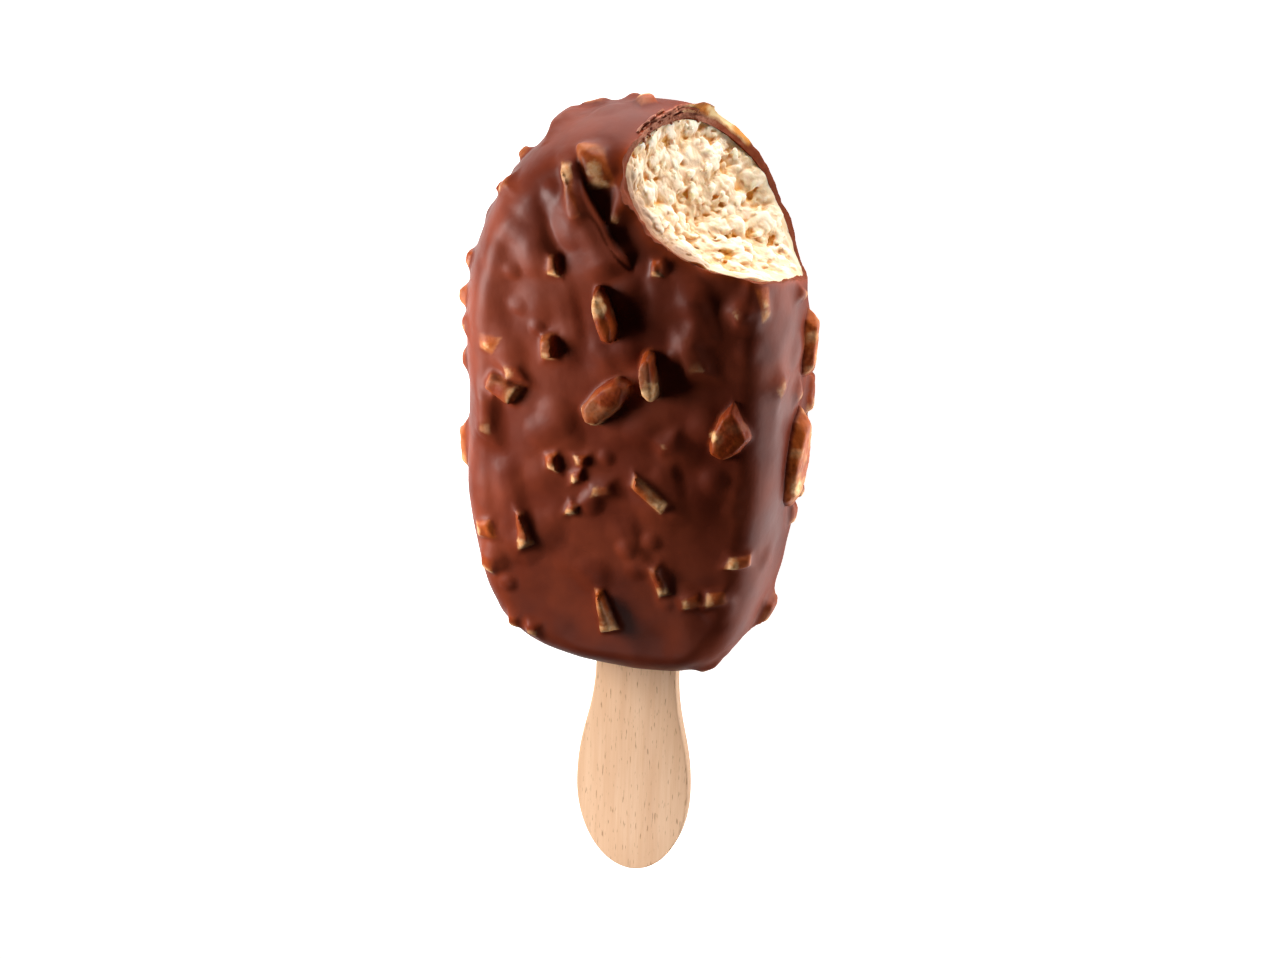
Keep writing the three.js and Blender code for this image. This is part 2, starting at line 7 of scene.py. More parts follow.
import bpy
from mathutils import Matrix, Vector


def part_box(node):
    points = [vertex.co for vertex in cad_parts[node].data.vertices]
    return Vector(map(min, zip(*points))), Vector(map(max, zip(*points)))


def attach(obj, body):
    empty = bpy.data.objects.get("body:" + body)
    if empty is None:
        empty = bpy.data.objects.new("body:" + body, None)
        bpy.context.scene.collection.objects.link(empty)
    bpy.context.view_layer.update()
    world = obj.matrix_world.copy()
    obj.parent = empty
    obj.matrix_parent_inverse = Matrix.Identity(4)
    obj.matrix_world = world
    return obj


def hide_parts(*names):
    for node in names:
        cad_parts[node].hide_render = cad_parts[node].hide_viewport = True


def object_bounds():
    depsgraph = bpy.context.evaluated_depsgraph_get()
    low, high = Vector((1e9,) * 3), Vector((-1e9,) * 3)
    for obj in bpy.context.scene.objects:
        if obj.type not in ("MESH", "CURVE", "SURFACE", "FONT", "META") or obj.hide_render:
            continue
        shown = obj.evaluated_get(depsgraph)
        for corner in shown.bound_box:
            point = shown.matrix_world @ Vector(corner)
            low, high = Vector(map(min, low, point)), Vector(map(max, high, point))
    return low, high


bl_info = {
    "name": "Ice Cream Bar",
    "version": (1, 0, 0),
    "blender": (4, 5, 0),
    "location": "View3D > Sidebar > Ice Cream Bar",
    "description": "Builds a bitten almond ice cream bar on a wooden stick",
    "category": "Add Mesh",
}

import math

import bpy
import numpy as np
from mathutils import Matrix, Vector

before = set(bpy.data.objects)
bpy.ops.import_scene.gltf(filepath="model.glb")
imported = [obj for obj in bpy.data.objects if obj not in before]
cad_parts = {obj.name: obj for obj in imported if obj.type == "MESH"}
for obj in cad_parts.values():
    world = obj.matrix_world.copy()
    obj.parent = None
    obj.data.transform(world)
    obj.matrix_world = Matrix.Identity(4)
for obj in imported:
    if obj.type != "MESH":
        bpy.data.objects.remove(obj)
CAD_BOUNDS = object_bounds()

MM = 0.001
ROOT = "root"
FILM_VALUES = ("shown", "bare", "tone")  # values that the coat's and the almonds' points carry
EDGE_VALUES = ("broken", "golden", "skin", "near_rim", "ledge")

# ---------------------------------------------------------------- the bar's sizes

WIDEST_AT = 0.621  # share of the length that lies below the widest line
TOP_POWER = 2.25  # superellipse powers of the rounder top half and the squarer bottom half
BOTTOM_POWER = 3.5
TOP_LEAN = 1.4  # how far the top and the bottom end lean to +X
BOTTOM_LEAN = 0.9
EDGE = 5.6  # width of the rounded edge between a face and the flank
EDGE_POWER = 2.2
FLANK_POWER = 2.8
CROWN = 1.0  # how far each face swells in its middle
FLOOR = -14.2  # the level that the bar's back rests on
COAT_LOW = (-27.5, -46.0, FLOOR - 1)  # the coat lies within this box
COAT_HIGH = (28.5, 46.0, 17.5)
PLAN_REACH = np.array([33, 51])  # how far the table of distances from the outline reaches, and its step
PLAN_STEP = 0.3
PROFILE_LOW = (-8, 0)  # the same for the rounded edge: inwards from the outline, and up
PROFILE_HIGH = (26, 20)
PROFILE_STEP = 0.1

WAVES = ((8.6, 0.34, 3), (3.8, 0.15, 4))  # the coat's waves: size, height and noise
LUMP_SEED = 11  # the coat's low swellings
LUMP_COUNT = 170

FLOOR_GLOW = 0.3  # how brightly the white floor lights the bar
FLOOR_SIZE = 6  # metres
WORLD_COLOUR = (1, 0.93, 0.87, 1)
WORLD_STRENGTH = 0.02
CAMERA_TARGET = (2.46, -12.21, 5.01)  # the middle of the picture, in the bar's axes
PICTURE_WIDTH = 1278  # picture points
SENSOR_WIDTH = 36.0
CLIP_START = 0.01  # metres
WHITE = (1, 1, 1)
WARM_WHITE = (1, 0.98, 0.96)
LIGHTS = (  # name, place over the floor, what it shines at, its sides, colour, spread in degrees
    ("key", (-82, 18, 62), (-8, 10, 10), (58, 35), WARM_WHITE, 180),
    ("stick", (-40, -130, 180), (0, -62, 0), (50, 50), WARM_WHITE, 30),
    ("flank", (52, 10, 1), (52, 10, 100), (44, 120), WHITE, 180),
    ("end", (0, 92, 1), (0, 92, 100), (80, 50), WHITE, 180),
    ("rim", (220, -70, 8), (0, 5, 6), (200, 26), WHITE, 180),
    ("top", (30, 190, 13), (10, 30, 8), (130, 26), WARM_WHITE, 180),
)

STICK_TIP = -78.7  # the stick's outer end along the bar
STICK_LENGTH = 94.0
STICK_THICKNESS = 2.0
STICK_PADDLE = 17.5
STICK_NECK = 12.5
STICK_PADDLE_ARC = 14.0  # length of the rounded end, up to the widest line
STICK_TAPER = 20.4  # length from the widest line to the neck
STICK_OFFSET = 1.75  # how far to +X the stick lies
STICK_EDGE = 0.32  # width of its worn edge
SLOT_GAP = 0.25  # room around it in the coat and the ice cream

BITE_CENTRE = np.array([12.5, 28.4, 0.7])
BITE_NORMAL = np.array([0.72, 0.65, 0.24]) / np.linalg.norm([0.72, 0.65, 0.24])
BITE_UP = np.array([0.0, 0.0, 1.0]) - BITE_NORMAL * BITE_NORMAL[2]
BITE_UP /= np.linalg.norm(BITE_UP)
BITE_ACROSS = np.cross(BITE_NORMAL, BITE_UP)
BITE_HALF_DEPTH = 12.0
BITE_HALF_SPAN = 16.0
BITE_BOWL = 4.0
BITE_FRONT_ARC = (-1.5, 0.49, 0.04)  # middle height, slope and curve of the arc across the shown face
BITE_BACK_ARC = (0.75, -0.2, -0.012)
BITE_SIDE_SLOPE = 0.9
BITE_LIFT = 30.0
LEDGE = 1.7  # the thick coat at the top end breaks off this much later than the ice cream
LEDGE_FROM = 10.5
LEDGE_TO = 14.0
LEDGE_FRONT = 6.0
LEDGE_END = 10.0
LAYER = 0.4  # thickness of the layers in which the thick coat breaks
BREAK_DETAIL = 0.17  # size of the smallest faces along the coat's broken edge
SCOOPED = 0.35  # how far the ice cream lies under the coat's broken edge
CRAG_SIZES = ((4.6, 1.1), (2.3, 0.75), (1.2, 0.35))
CRUMBS = (  # lumps and crumbs: how many, radii from and to, share that stands out, width of the joint
    (44, 0.8, 1.7, 0.34, 0.9),
    (400, 0.25, 0.65, 0.46, 0.3),
    (1600, 0.15, 0.34, 0.46, 0.15),
)
HOLLOWS = (  # torn hollows: how many, radii from and to, share above the surface, width of the joint
    (34, 0.5, 1.2, 0.6, 0.4),
    (110, 0.2, 0.5, 0.5, 0.2),
)
PUFFS = ((2.1, 0.32), (1.0, 0.24), (0.55, 0.16), (0.3, 0.12))  # the torn surface's puffs: size and height
CRUMB_SEED = 23
SMOOTH_BORDER = 2.4  # the ice cream is calmer this close to the coat
TORN_HALF_UP = 15.5  # the torn surface reaches this far up and across the bite
TORN_HALF_ACROSS = 18.5
TORN_FROM = -4.4  # and lies within this much under and over the scoop
TORN_TO = 3.4

# The small chopped almonds: rough place, length, width, rise, turn in degrees, and how thickly chocolate
# covers them, from 0, a thin film, to 1, a soft lump.
FACE_CHIPS = (
    ((-3.2, 36.2, 11), 6.2, 4.4, 1.7, -16, 0.25),
    ((-6.2, 33.0, 12), 8.6, 1.8, 2.7, -18, 0.5),
    ((-9, 9.5, 12), 4.5, 2.4, 2.3, -2, 0.15),
    ((-19, 8, 12), 3, 2.8, 1.4, 20, 0.0),
    ((-16, 2, 12), 6.2, 3.4, 1.8, -70, 0.1),
    ((-14.5, 4.6, 12), 2.4, 1.8, 0.8, 79, 0.4),
    ((6.3, 23.4, 12), 2.6, 1.4, 1.2, -3, 0.2),
    ((0.6, 31.7, 12), 6, 1.6, 1.0, 19, 0.6),
    ((-8.8, 21.6, 12), 3.5, 1.6, 1.1, -2, 0.2),
    ((21.2, 19.5, 10), 5.5, 2.3, 1.2, -18, 0.1),
    ((18.3, 18.6, 12), 1.5, 1.3, 0.7, 30, 0.7),
    ((11.8, 11.7, 12), 6.6, 1.8, 0.9, -12, 0.9),
    ((23, 6.5, 7), 2.8, 2.2, 1.1, 40, 0.8),
    ((-8.2, -7.9, 12), 2.8, 1.7, 1.3, 0, 0.2),
    ((-3.8, -7.1, 12), 2.2, 1.5, 1.0, 80, 0.2),
    ((-4.4, -9.7, 12), 1.9, 1.5, 0.9, 59, 0.2),
    ((-0.6, -11.1, 12), 3.3, 1.3, 0.7, 80, 0.6),
    ((9, -2.4, 12), 2.3, 1.1, 0.7, 62, 0.7),
    ((6.5, -10.6, 12), 6.6, 2.2, 2.1, -62, 0.2),
    ((-5, -14.7, 12), 1.8, 1.3, 1.0, 20, 0.2),
    ((-12.2, -19.4, 12), 5.6, 2.1, 1.9, -13, 0.3),
    ((-18.2, -20.7, 11), 3.7, 2.8, 1.1, 74, 0.2),
    ((-17.7, -26, 11), 3.4, 2.6, 1.1, 7, 0.2),
    ((0.2, -30.1, 12), 7.5, 2.1, 2.3, -16, 0.15),
    ((8.2, -24, 12), 5.6, 1.8, 1.3, -19, 0.3),
    ((19.7, -19.7, 11), 3.4, 1.8, 0.9, 87, 0.2),
    ((13.2, -26.6, 12), 3, 1.6, 0.8, 62, 0.35),
    ((16.9, -25.6, 12), 3.2, 1.9, 0.9, 77, 0.35),
    ((-13.8, -34.5, 10), 2.6, 1.4, 0.9, 15, 0.3),
    ((-10.9, -35.2, 11), 1.9, 1.3, 0.8, 3, 0.4),
    ((-19, -2.9, 12), 5.9, 1.5, 0.6, 0, 0.9),
)
FLANK_CHIPS = (
    ((-24, 12.4, 5), 4.2, 3.4, 2.3, 0, 0.2),
    ((-23, 18.3, 5), 2.6, 2.2, 1.3, 0, 0.2),
    ((-23, 9.5, 8), 2.2, 1.8, 1.0, 0, 0.3),
    ((-24, 3, 6), 2.4, 2.2, 1.1, 0, 0.3),
    ((-24, -11.4, 4), 6.2, 3.4, 1.9, 0, 0.4),
    ((-17.5, 30.8, 8), 3.2, 1.6, 0.9, 40, 0.4),
    ((-12, 38.2, -1), 5.5, 4.2, 1.5, 70, 1.0),
    ((-0.5, 42, -2), 3.6, 2.8, 1.6, 60, 0.25),
    ((23, -13.2, -3), 2.6, 2.4, 1.6, 20, 0.2),
    ((23, -17, -2.5), 3, 2.6, 1.0, 0, 0.3),
    ((21, -31.5, 0), 4.2, 3.4, 1.8, 0, 0.4),
    ((14.5, -39, 7), 2.6, 1.8, 0.8, 60, 0.6),
    ((9.5, 39.6, -7.5), 9.5, 4, 0.6, 0, 0.0),
    ((17, 35, -8), 4.6, 3, 1.2, 60, 0.1),
    ((20, 30.5, -8), 3.2, 2.4, 1.1, 20, 0.1),
    ((24, 23.5, -4), 2.6, 1.8, 1.2, 80, 0.2),
)
FEET = (
    ((-13, 22, -12), 6.5, 4.4, 3, 25, 0.3),
    ((12.5, 7, -12), 6, 4.2, 3, -40, 0.3),
    ((-12, -23, -12), 6.4, 4, 3, -20, 0.3),
    ((13, -21, -12), 6.2, 4.4, 3, 65, 0.3),
)
PALE_CHIPS = (0, 3, 9, 13, 18, 21, 23, 25, 27, 31, 35, 43, 44)  # these show through palest
SOFT_CHIPS = (0, 3, 9, 12, 31)  # these have melted edges
BARE_ABOVE = (1,)  # these are barest at their upper end, the others at their lower end
# Banks of chocolate: crest from and to, rise at both ends, width of the gentle slope and of the steep side.
DRIFTS = (
    ((-4.9, 33.6), (2.4, 22.0), 2.1, 1.6, 8.0, 0.7),
    ((21.0, 26.0), (20.2, 15.0), 0.9, 0.5, 3.0, 1.6),
    ((-12.5, 30.0), (-10.0, 19.0), 0.3, 0.6, 5.0, 3.0),
    ((12.0, 20.5), (14.2, 13.0), 0.3, 0.7, 3.5, 2.2),
    ((-15.5, -10.0), (-12.5, -19.0), 0.5, 0.4, 4.0, 2.6),
    ((3.0, -16.0), (6.5, -24.0), 0.35, 0.5, 3.5, 2.4),
    ((-7.0, 18.0), (-5.0, 10.0), 0.3, 0.5, 3.5, 2.2),
    ((9.0, -6.0), (11.5, -15.0), 0.5, 0.35, 3.5, 2.2),
)
# Sheets of chocolate in the broken ledge: from and to up the bite, depth in the coat, height and lean.
FLAKES = (
    (6.4, -1.5, 0.15, 2.1, 0.10),
    (5.6, -7.8, 0.55, 2.5, 0.16),
    (1.8, -9.2, 1.0, 2.2, 0.24),
    (6.0, 0.4, 0.95, 1.7, 0.25),
    (-2.2, -5.0, 1.5, 1.9, 0.35),
)
FLAKE_THICKNESS = 0.2
CRUMB_COUNT = 60
ALMOND_DETAIL = 0.2  # size of the smallest faces of the large almonds
LARGE_ALMONDS = (
    "almond_face_upper",
    "almond_face_middle",
    "almond_face_centre",
    "almond_face_right",
    "almond_flank_upper",
    "almond_flank_lower",
)
THIN_SPOTS = {  # where the film on the large almonds is thinnest: place and radius
    "almond_face_upper": (((-1.6, 17.5, 15.5), 2.1),),
    "almond_face_middle": (((6.4, 4.9, 14.6), 3.0),),
    "almond_face_centre": (((-1.6, -0.6, 13.2), 1.8), ((-4.2, 1.0, 12.6), 1.0)),
    "almond_face_right": (((17.4, 6.0, 13.3), 1.2), ((21.6, 1.0, 13.0), 1.5), ((15.6, 0.0, 13.2), 1.0)),
    "almond_flank_upper": (((25.5, 11.0, -1.0), 1.3),),
    "almond_flank_lower": (((25.5, -11.0, 2.0), 1.6), ((26, 0, -1), 1.4)),
}
PALE_ALMONDS = ("almond_flank_upper", "almond_flank_lower")  # their film is thin all over
# How the tops of the large almonds are roofed: ridge to the right, left and right slope in degrees.
RIDGES = {
    "almond_face_upper": (0.5, 4, 40),
    "almond_face_middle": (0.4, 4, 40),
    "almond_face_centre": (0.2, 5, 30),
}
LARGE_ALMOND_PLACES = (  # about where they lie, for the hidden pieces to keep clear of
    (-0.8, 15.7, 12),
    (5.8, 7.6, 12),
    (0, 3, 12),
    (17.6, 0.4, 12),
    (24, 9, -3.5),
    (24, -7, 0),
)
BITTEN_ALMOND_ACROSS = (-15.2, -4.6)  # the almond in the coat's back that the bite went through
BITTEN_ALMOND_UP = -5.0
BITTEN_ALMOND_DEPTH = (0.65, -0.75)  # from over the body's surface to under it
HIDDEN_BACK = 24  # how many pieces lie on the back, and on the flanks
HIDDEN_FLANK = 18
HIDDEN_SEED = 41
HIDDEN_TRIES = 900
HIDDEN_SPACING = 4.6
STICK_CLEAR = (10, -38)  # they keep this far from the stick's middle, below this line along the bar
CHIP_SEED = 7
ENDS_SEED = 3
BURY = 0.8  # how deep a chip reaches under the body's surface
CHIP_SKEW = 0.4  # range of the turn of its long sides, in radians
CHIP_SLOPE = 0.3  # range of the slope of its top, for a chip that rises as much as it is long
BROAD = 0.5  # share of its length from which a chip's width counts as broad
BROAD_TAPER = 0.78  # share of the width that is left at the top of a broad chip, and of a slim one
SLIM_TAPER = 0.62


# ---------------------------------------------------------------- numbers and noise


def seeded_random(seed):
    """Returns a function that draws the same numbers between 0 and 1 for the same seed."""
    mask = 0xFFFFFFFF
    state = seed & mask

    def draw():
        nonlocal state
        state = (state + 0x6D2B79F5) & mask
        mixed = ((state ^ (state >> 15)) * (1 | state)) & mask
        turned = ((mixed ^ (mixed >> 7)) * (61 | mixed)) & mask
        mixed = ((mixed + turned) & mask) ^ mixed
        return ((mixed ^ (mixed >> 14)) & mask) / 4294967296

    return draw


def smoothstep(low, high, value):
    """0 below low, 1 above high and smooth between."""
    share = np.clip((value - low) / (high - low), 0.0, 1.0)
    return share * share * (3 - 2 * share)


def bent_noise(points, cell, salt):
    """Three noises at once, to bend places with."""
    return np.stack([noise(points, cell, salt + axis) for axis in range(points.shape[1])], axis=1)


def smooth_min(a, b, width):
    """The smaller of two distances, with a fillet of about that width where they meet."""
    share = np.clip(0.5 + 0.5 * (b - a) / width, 0.0, 1.0)
    return b + (a - b) * share - width * share * (1 - share)


def hashed(cells, salt):
    """One number between 0 and 1 for each whole-numbered cell."""
    primes = (73856093, 19349663, 83492791)
    total = np.full(len(cells), salt * 2654435 + 12345, np.uint64)
    for axis in range(cells.shape[1]):
        total ^= (cells[:, axis].astype(np.int64) & 0xFFFFFFFF).astype(np.uint64) * np.uint64(primes[axis])
        total = (total * np.uint64(2246822519)) & np.uint64(0xFFFFFFFF)
        total ^= total >> np.uint64(13)
    total = (total * np.uint64(3266489917)) & np.uint64(0xFFFFFFFF)
    total ^= total >> np.uint64(16)
    return total.astype(float) / 4294967296


def noise(points, cell, salt):
    """Smooth noise between -1 and 1 with lumps about as large as the cell, another one for each salt."""
    scaled = points / cell
    low = np.floor(scaled).astype(np.int64)
    share = scaled - low
    share = share * share * (3 - 2 * share)
    size = points.shape[1]
    total = np.zeros(len(points))
    for corner in range(2**size):
        bits = np.array([(corner >> axis) & 1 for axis in range(size)])
        weight = np.prod(np.where(bits, share, 1 - share), axis=1)
        total += weight * hashed(low + bits, salt)
    return 2 * total - 1


def signed_power(value, power):
    return np.sign(value) * np.abs(value) ** power


# ---------------------------------------------------------------- the bar's body


def outline_points(angle, sizes, inset=0.0, top_extra=0.0):
    """Points of the bar's outline, seen from the front, drawn in by an inset."""
    c = np.cos(angle)
    s = np.sin(angle)
    upper = s >= 0
    power = 2 / np.where(upper, TOP_POWER, BOTTOM_POWER)
    top_reach = sizes.length * (1 - WIDEST_AT) - inset - top_extra
    reach = np.where(upper, top_reach, sizes.length * WIDEST_AT - inset)
    lean = np.where(upper, TOP_LEAN, BOTTOM_LEAN)
    x = (sizes.width / 2 - inset) * signed_power(c, power) + lean * s * s
    y = reach * signed_power(s, power) + sizes.length * (WIDEST_AT - 0.5)
    return np.stack([x, y], axis=-1)


def support_lengths(angle, sizes, inset=0.0, top_extra=0.0):
    """How far along its radius each outline point's tangent line stands from the middle."""
    step = 0.01
    point = outline_points(angle, sizes, inset, top_extra)
    ahead = outline_points(angle + step, sizes, inset, top_extra)
    behind = outline_points(angle - step, sizes, inset, top_extra)
    tangent = ahead - behind
    normal = np.stack([tangent[..., 1], -tangent[..., 0]], axis=-1)
    normal /= np.linalg.norm(normal, axis=-1, keepdims=True)
    return np.maximum((point * normal).sum(-1), 8.0)


def polyline_distance(points, line):
    """Unsigned distance of each flat point from a line of straight pieces."""
    best = np.full(len(points), 1e9)
    for start, end in zip(line[:-1], line[1:]):
        piece = end - start
        length = piece @ piece
        if length < 1e-16:
            continue
        share = np.clip((points - start) @ piece / length, 0.0, 1.0)
        offset = points - start - share[:, None] * piece
        best = np.minimum(best, (offset * offset).sum(1))
    return np.sqrt(best)


class Table:
    """Values on a flat grid, read between its points."""

    def __init__(self, low, high, step, rule):
        self.low = np.array(low, float)
        self.step = step
        self.count = np.round((np.array(high) - self.low) / step).astype(int) + 1
        axes = [self.low[axis] + step * np.arange(self.count[axis]) for axis in range(2)]
        grid = np.stack(np.meshgrid(*axes, indexing="ij"), axis=-1).reshape(-1, 2)
        self.values = rule(grid).reshape(self.count)

    def read(self, first, second):
        u = np.clip((first - self.low[0]) / self.step, 0, self.count[0] - 1.001)
        v = np.clip((second - self.low[1]) / self.step, 0, self.count[1] - 1.001)
        i = u.astype(int)
        j = v.astype(int)
        u = u - i
        v = v - j
        values = self.values
        low = values[i, j] * (1 - u) + values[i + 1, j] * u
        high = values[i, j + 1] * (1 - u) + values[i + 1, j + 1] * u
        return low * (1 - v) + high * v


class Body:
    """The bare bar, as a signed distance from its surface: negative inside."""

    def __init__(self, sizes):
        self.sizes = sizes
        self.equator = sizes.thickness / 2 - CROWN
        angle = np.linspace(0, 2 * math.pi, 721)
        rim = outline_points(angle, sizes)
        turned = np.unwrap(np.arctan2(rim[:, 1], rim[:, 0]))
        self.polar = turned
        self.radius = np.hypot(rim[:, 0], rim[:, 1])
        self.face_share = 1 - EDGE / support_lengths(angle, sizes)
        self.plan = Table(
            -PLAN_REACH, PLAN_REACH, PLAN_STEP, lambda flat: self._plan_distance(flat, rim[::2])
        )
        sweep = np.linspace(0, math.pi / 2, 160)
        inset = EDGE * (1 - np.cos(sweep) ** (2 / EDGE_POWER))
        height = self.equator * np.sin(sweep) ** (2 / FLANK_POWER)
        profile = np.stack([inset, height], axis=1)
        profile = np.vstack([[0.0, -4.0], profile, [40.0, self.equator]])
        self.profile = Table(
            PROFILE_LOW, PROFILE_HIGH, PROFILE_STEP, lambda flat: self._profile_distance(flat, profile)
        )

    def _polar_share(self, x, y):
        turned = np.mod(np.arctan2(y, x) - self.polar[0], 2 * math.pi) + self.polar[0]
        radius = np.interp(turned, self.polar, self.radius)
        face_share = np.interp(turned, self.polar, self.face_share)
        return np.hypot(x, y) / radius, face_share

    def _plan_distance(self, flat, rim):
        share, _ = self._polar_share(flat[:, 0], flat[:, 1])
        return np.where(share < 1, 1.0, -1.0) * polyline_distance(flat, rim)

    def _profile_distance(self, flat, profile):
        edge_height = np.interp(flat[:, 0], profile[1:, 0], profile[1:, 1])
        inside = (flat[:, 0] > 0) & (flat[:, 1] < edge_height)
        return np.where(inside, -1.0, 1.0) * polyline_distance(flat, profile)

    def distance(self, points):
        x, y, z = points.T
        share, face_share = self._polar_share(x, y)
        crown = CROWN * (1 - np.minimum(1.0, share / face_share) ** 2)
        height = np.abs(z) * self.equator / (self.equator + crown)
        return self.profile.read(self.plan.read(x, y), height)

    def surface_at(self, rough):
        """Where the line from the bar's inner plane through a place leaves the body, and the way out."""
        rough = np.array(rough, float)
        middle = self.sizes.thickness / 2
        reach_x = self.sizes.width / 2 - middle
        reach_y = self.sizes.length / 2 - middle
        spine = np.array([np.clip(rough[0], -reach_x, reach_x), np.clip(rough[1], -reach_y, reach_y), 0.0])
        direction = rough - spine
        direction /= np.linalg.norm(direction)
        near, far = 0.0, 40.0
        for _ in range(40):
            centre = (near + far) / 2
            outside = self.distance((spine + centre * direction)[None])[0] > 0
            near, far = (near, centre) if outside else (centre, far)
        point = spine + near * direction
        step = 0.6
        normal = np.array([
            self.distance((point + step * axis)[None])[0] - self.distance((point - step * axis)[None])[0]
            for axis in np.eye(3)
        ])
        return point, normal / np.linalg.norm(normal)


def bar_mesh(name, sizes, inset, top_extra, around=128, face_rows=3, edge_rows=10):
    """A sphere, remapped to the bar's body drawn in by an inset."""
    rows = 2 * (face_rows + edge_rows)
    bpy.ops.mesh.primitive_uv_sphere_add(segments=around, ring_count=rows, radius=1)
    ball = bpy.context.object
    ball.name = name
    unit = read_vertices(ball.data) * MM
    row = np.round(np.arccos(np.clip(unit[:, 2], -1, 1)) / math.pi * rows)
    from_pole = np.minimum(row, rows - row)
    side = np.where(row <= rows / 2, 1.0, -1.0)
    angle = np.arctan2(unit[:, 1], unit[:, 0])
    rim = outline_points(angle, sizes, inset, top_extra)
    support = support_lengths(angle, sizes, inset, top_extra)
    equator = sizes.thickness / 2 - CROWN - inset
    share = (1 - EDGE / support) * from_pole / face_rows
    height = equator + CROWN * (1 - np.minimum(1.0, from_pole / face_rows) ** 2)
    sweep = np.clip(1 - (from_pole - face_rows) / edge_rows, 0, 1) * (math.pi / 2)
    on_edge = from_pole > face_rows
    edge_share = 1 - EDGE * (1 - np.cos(sweep) ** (2 / EDGE_POWER)) / support
    share = np.where(on_edge, edge_share, share)
    height = np.where(on_edge, equator * np.sin(sweep) ** (2 / FLANK_POWER), height)
    placed = np.stack([rim[:, 0] * share, rim[:, 1] * share, side * height], axis=1)
    write_vertices(ball.data, placed)
    return ball


# ---------------------------------------------------------------- the bite


def arc_height(arc, along):
    return arc[0] + arc[1] * along + arc[2] * along * along


def bite_height(up, across):
    to_front = (up + BITE_HALF_DEPTH) / (2 * BITE_HALF_DEPTH)
    along = np.minimum(across, BITE_HALF_SPAN - 1)
    back = arc_height(BITE_BACK_ARC, along)
    rim = back + (arc_height(BITE_FRONT_ARC, along) - back) * to_front
    bowl = np.clip(1 - (up / BITE_HALF_DEPTH) ** 2, 0, 1)
    bowl *= np.clip(1 - (across / BITE_HALF_SPAN) ** 2, 0, 1)
    beyond = np.maximum(0, across - along)
    return np.minimum(rim - BITE_BOWL * bowl + BITE_SIDE_SLOPE * beyond, BITE_LIFT - 5)


def bite_coordinates(points):
    """Height over the bite's plane, and places up and across it."""
    offset = points - BITE_CENTRE
    return offset @ BITE_NORMAL, offset @ BITE_UP, offset @ BITE_ACROSS


def crag_noise(x, y, salt):
    """The lumps of the ice cream, the same as in the solid model."""

    def corner(i, j):
        wave = np.sin(i * 127.1 + j * 311.7 + salt * 74.7) * 43758.5453
        return 2 * (wave - np.floor(wave)) - 1

    i = np.floor(x)
    j = np.floor(y)
    u = smoothstep(0, 1, x - i)
    v = smoothstep(0, 1, y - j)
    low = corner(i, j) * (1 - u) + corner(i + 1, j) * u
    high = corner(i, j + 1) * (1 - u) + corner(i + 1, j + 1) * u
    return low * (1 - v) + high * v


def bite_tool(name, cell, lowered, half_up=18.0, half_across=21.0):
    """A block that takes the bite away: its underside follows the scoop, lowered by a rule."""
    ups = np.arange(-half_up, half_up + cell / 2, cell)
    acrosses = np.arange(-half_across, half_across + cell / 2, cell)
    up, across = [grid.ravel() for grid in np.meshgrid(ups, acrosses, indexing="ij")]
    height = bite_height(up, across) - lowered(up, across)
    rows, columns = len(ups), len(acrosses)
    corner_up = np.array([ups[0], ups[0], ups[-1], ups[-1]])
    corner_across = np.array([acrosses[0], acrosses[-1], acrosses[-1], acrosses[0]])
    up = np.concatenate([up, corner_up])
    across = np.concatenate([across, corner_across])
    height = np.concatenate([height, np.full(4, BITE_LIFT)])
    places = (
        BITE_CENTRE
        + height[:, None] * BITE_NORMAL
        + up[:, None] * BITE_UP
        + across[:, None] * BITE_ACROSS
    )
    index, quads = grid_quads(rows, columns)
    top = rows * columns
    walls = [
        [*index[0, :].tolist(), top + 1, top],
        [*index[:, -1].tolist(), top + 2, top + 1],
        [*index[-1, ::-1].tolist(), top + 3, top + 2],
        [*index[::-1, 0].tolist(), top, top + 3],
        [top, top + 1, top + 2, top + 3],
    ]
    tool = mesh_object(name, places, quads.tolist() + walls)
    face_outwards(tool)
    return tool


# ---------------------------------------------------------------- almonds


class Nut:
    """A broken piece of almond: the space between flat faces, with softened edges."""

    def __init__(self, planes, centre, reach, rise, cover, salt, spots=(), tone=0.0, softness=0.0):
        self.tone = tone
        self.worn = 0.12 + 0.3 * smoothstep(0.7, 1.0, tone)
        self.normals = planes[:, :3]
        self.offsets = planes[:, 3]
        self.centre = centre
        self.reach = reach
        self.rise = rise
        self.cover = cover
        self.salt = salt
        self.spots = spots
        self.softness = softness or 0.07 + 0.3 * cover
        self.fillet = 0.7 + 2.4 * cover

    def near(self, points, margin=3.0):
        offset = points - self.centre
        return np.flatnonzero((offset * offset).sum(1) < (self.reach + margin) ** 2)

    def faces(self, points):
        """Distance of each point from each flat face."""
        return points @ self.normals.T - self.offsets

    def distance(self, points):
        faces = self.faces(points)
        highest = faces.max(1)
        total = np.exp((faces - highest[:, None]) / self.softness).sum(1)
        rough = 0.1 * noise(points, 1.3, self.salt) + 0.05 * noise(points, 0.5, self.salt + 1)
        return highest + self.softness * np.log(total) - rough


def side_face(angle, half, tilt):
    """One slanting side of a chip: its foot lies a half width from the middle, towards an angle."""
    normal = [math.sin(angle) * math.cos(tilt), math.cos(angle) * math.cos(tilt), math.sin(tilt)]
    return [*normal, half * math.cos(tilt) - BURY * math.sin(tilt)]


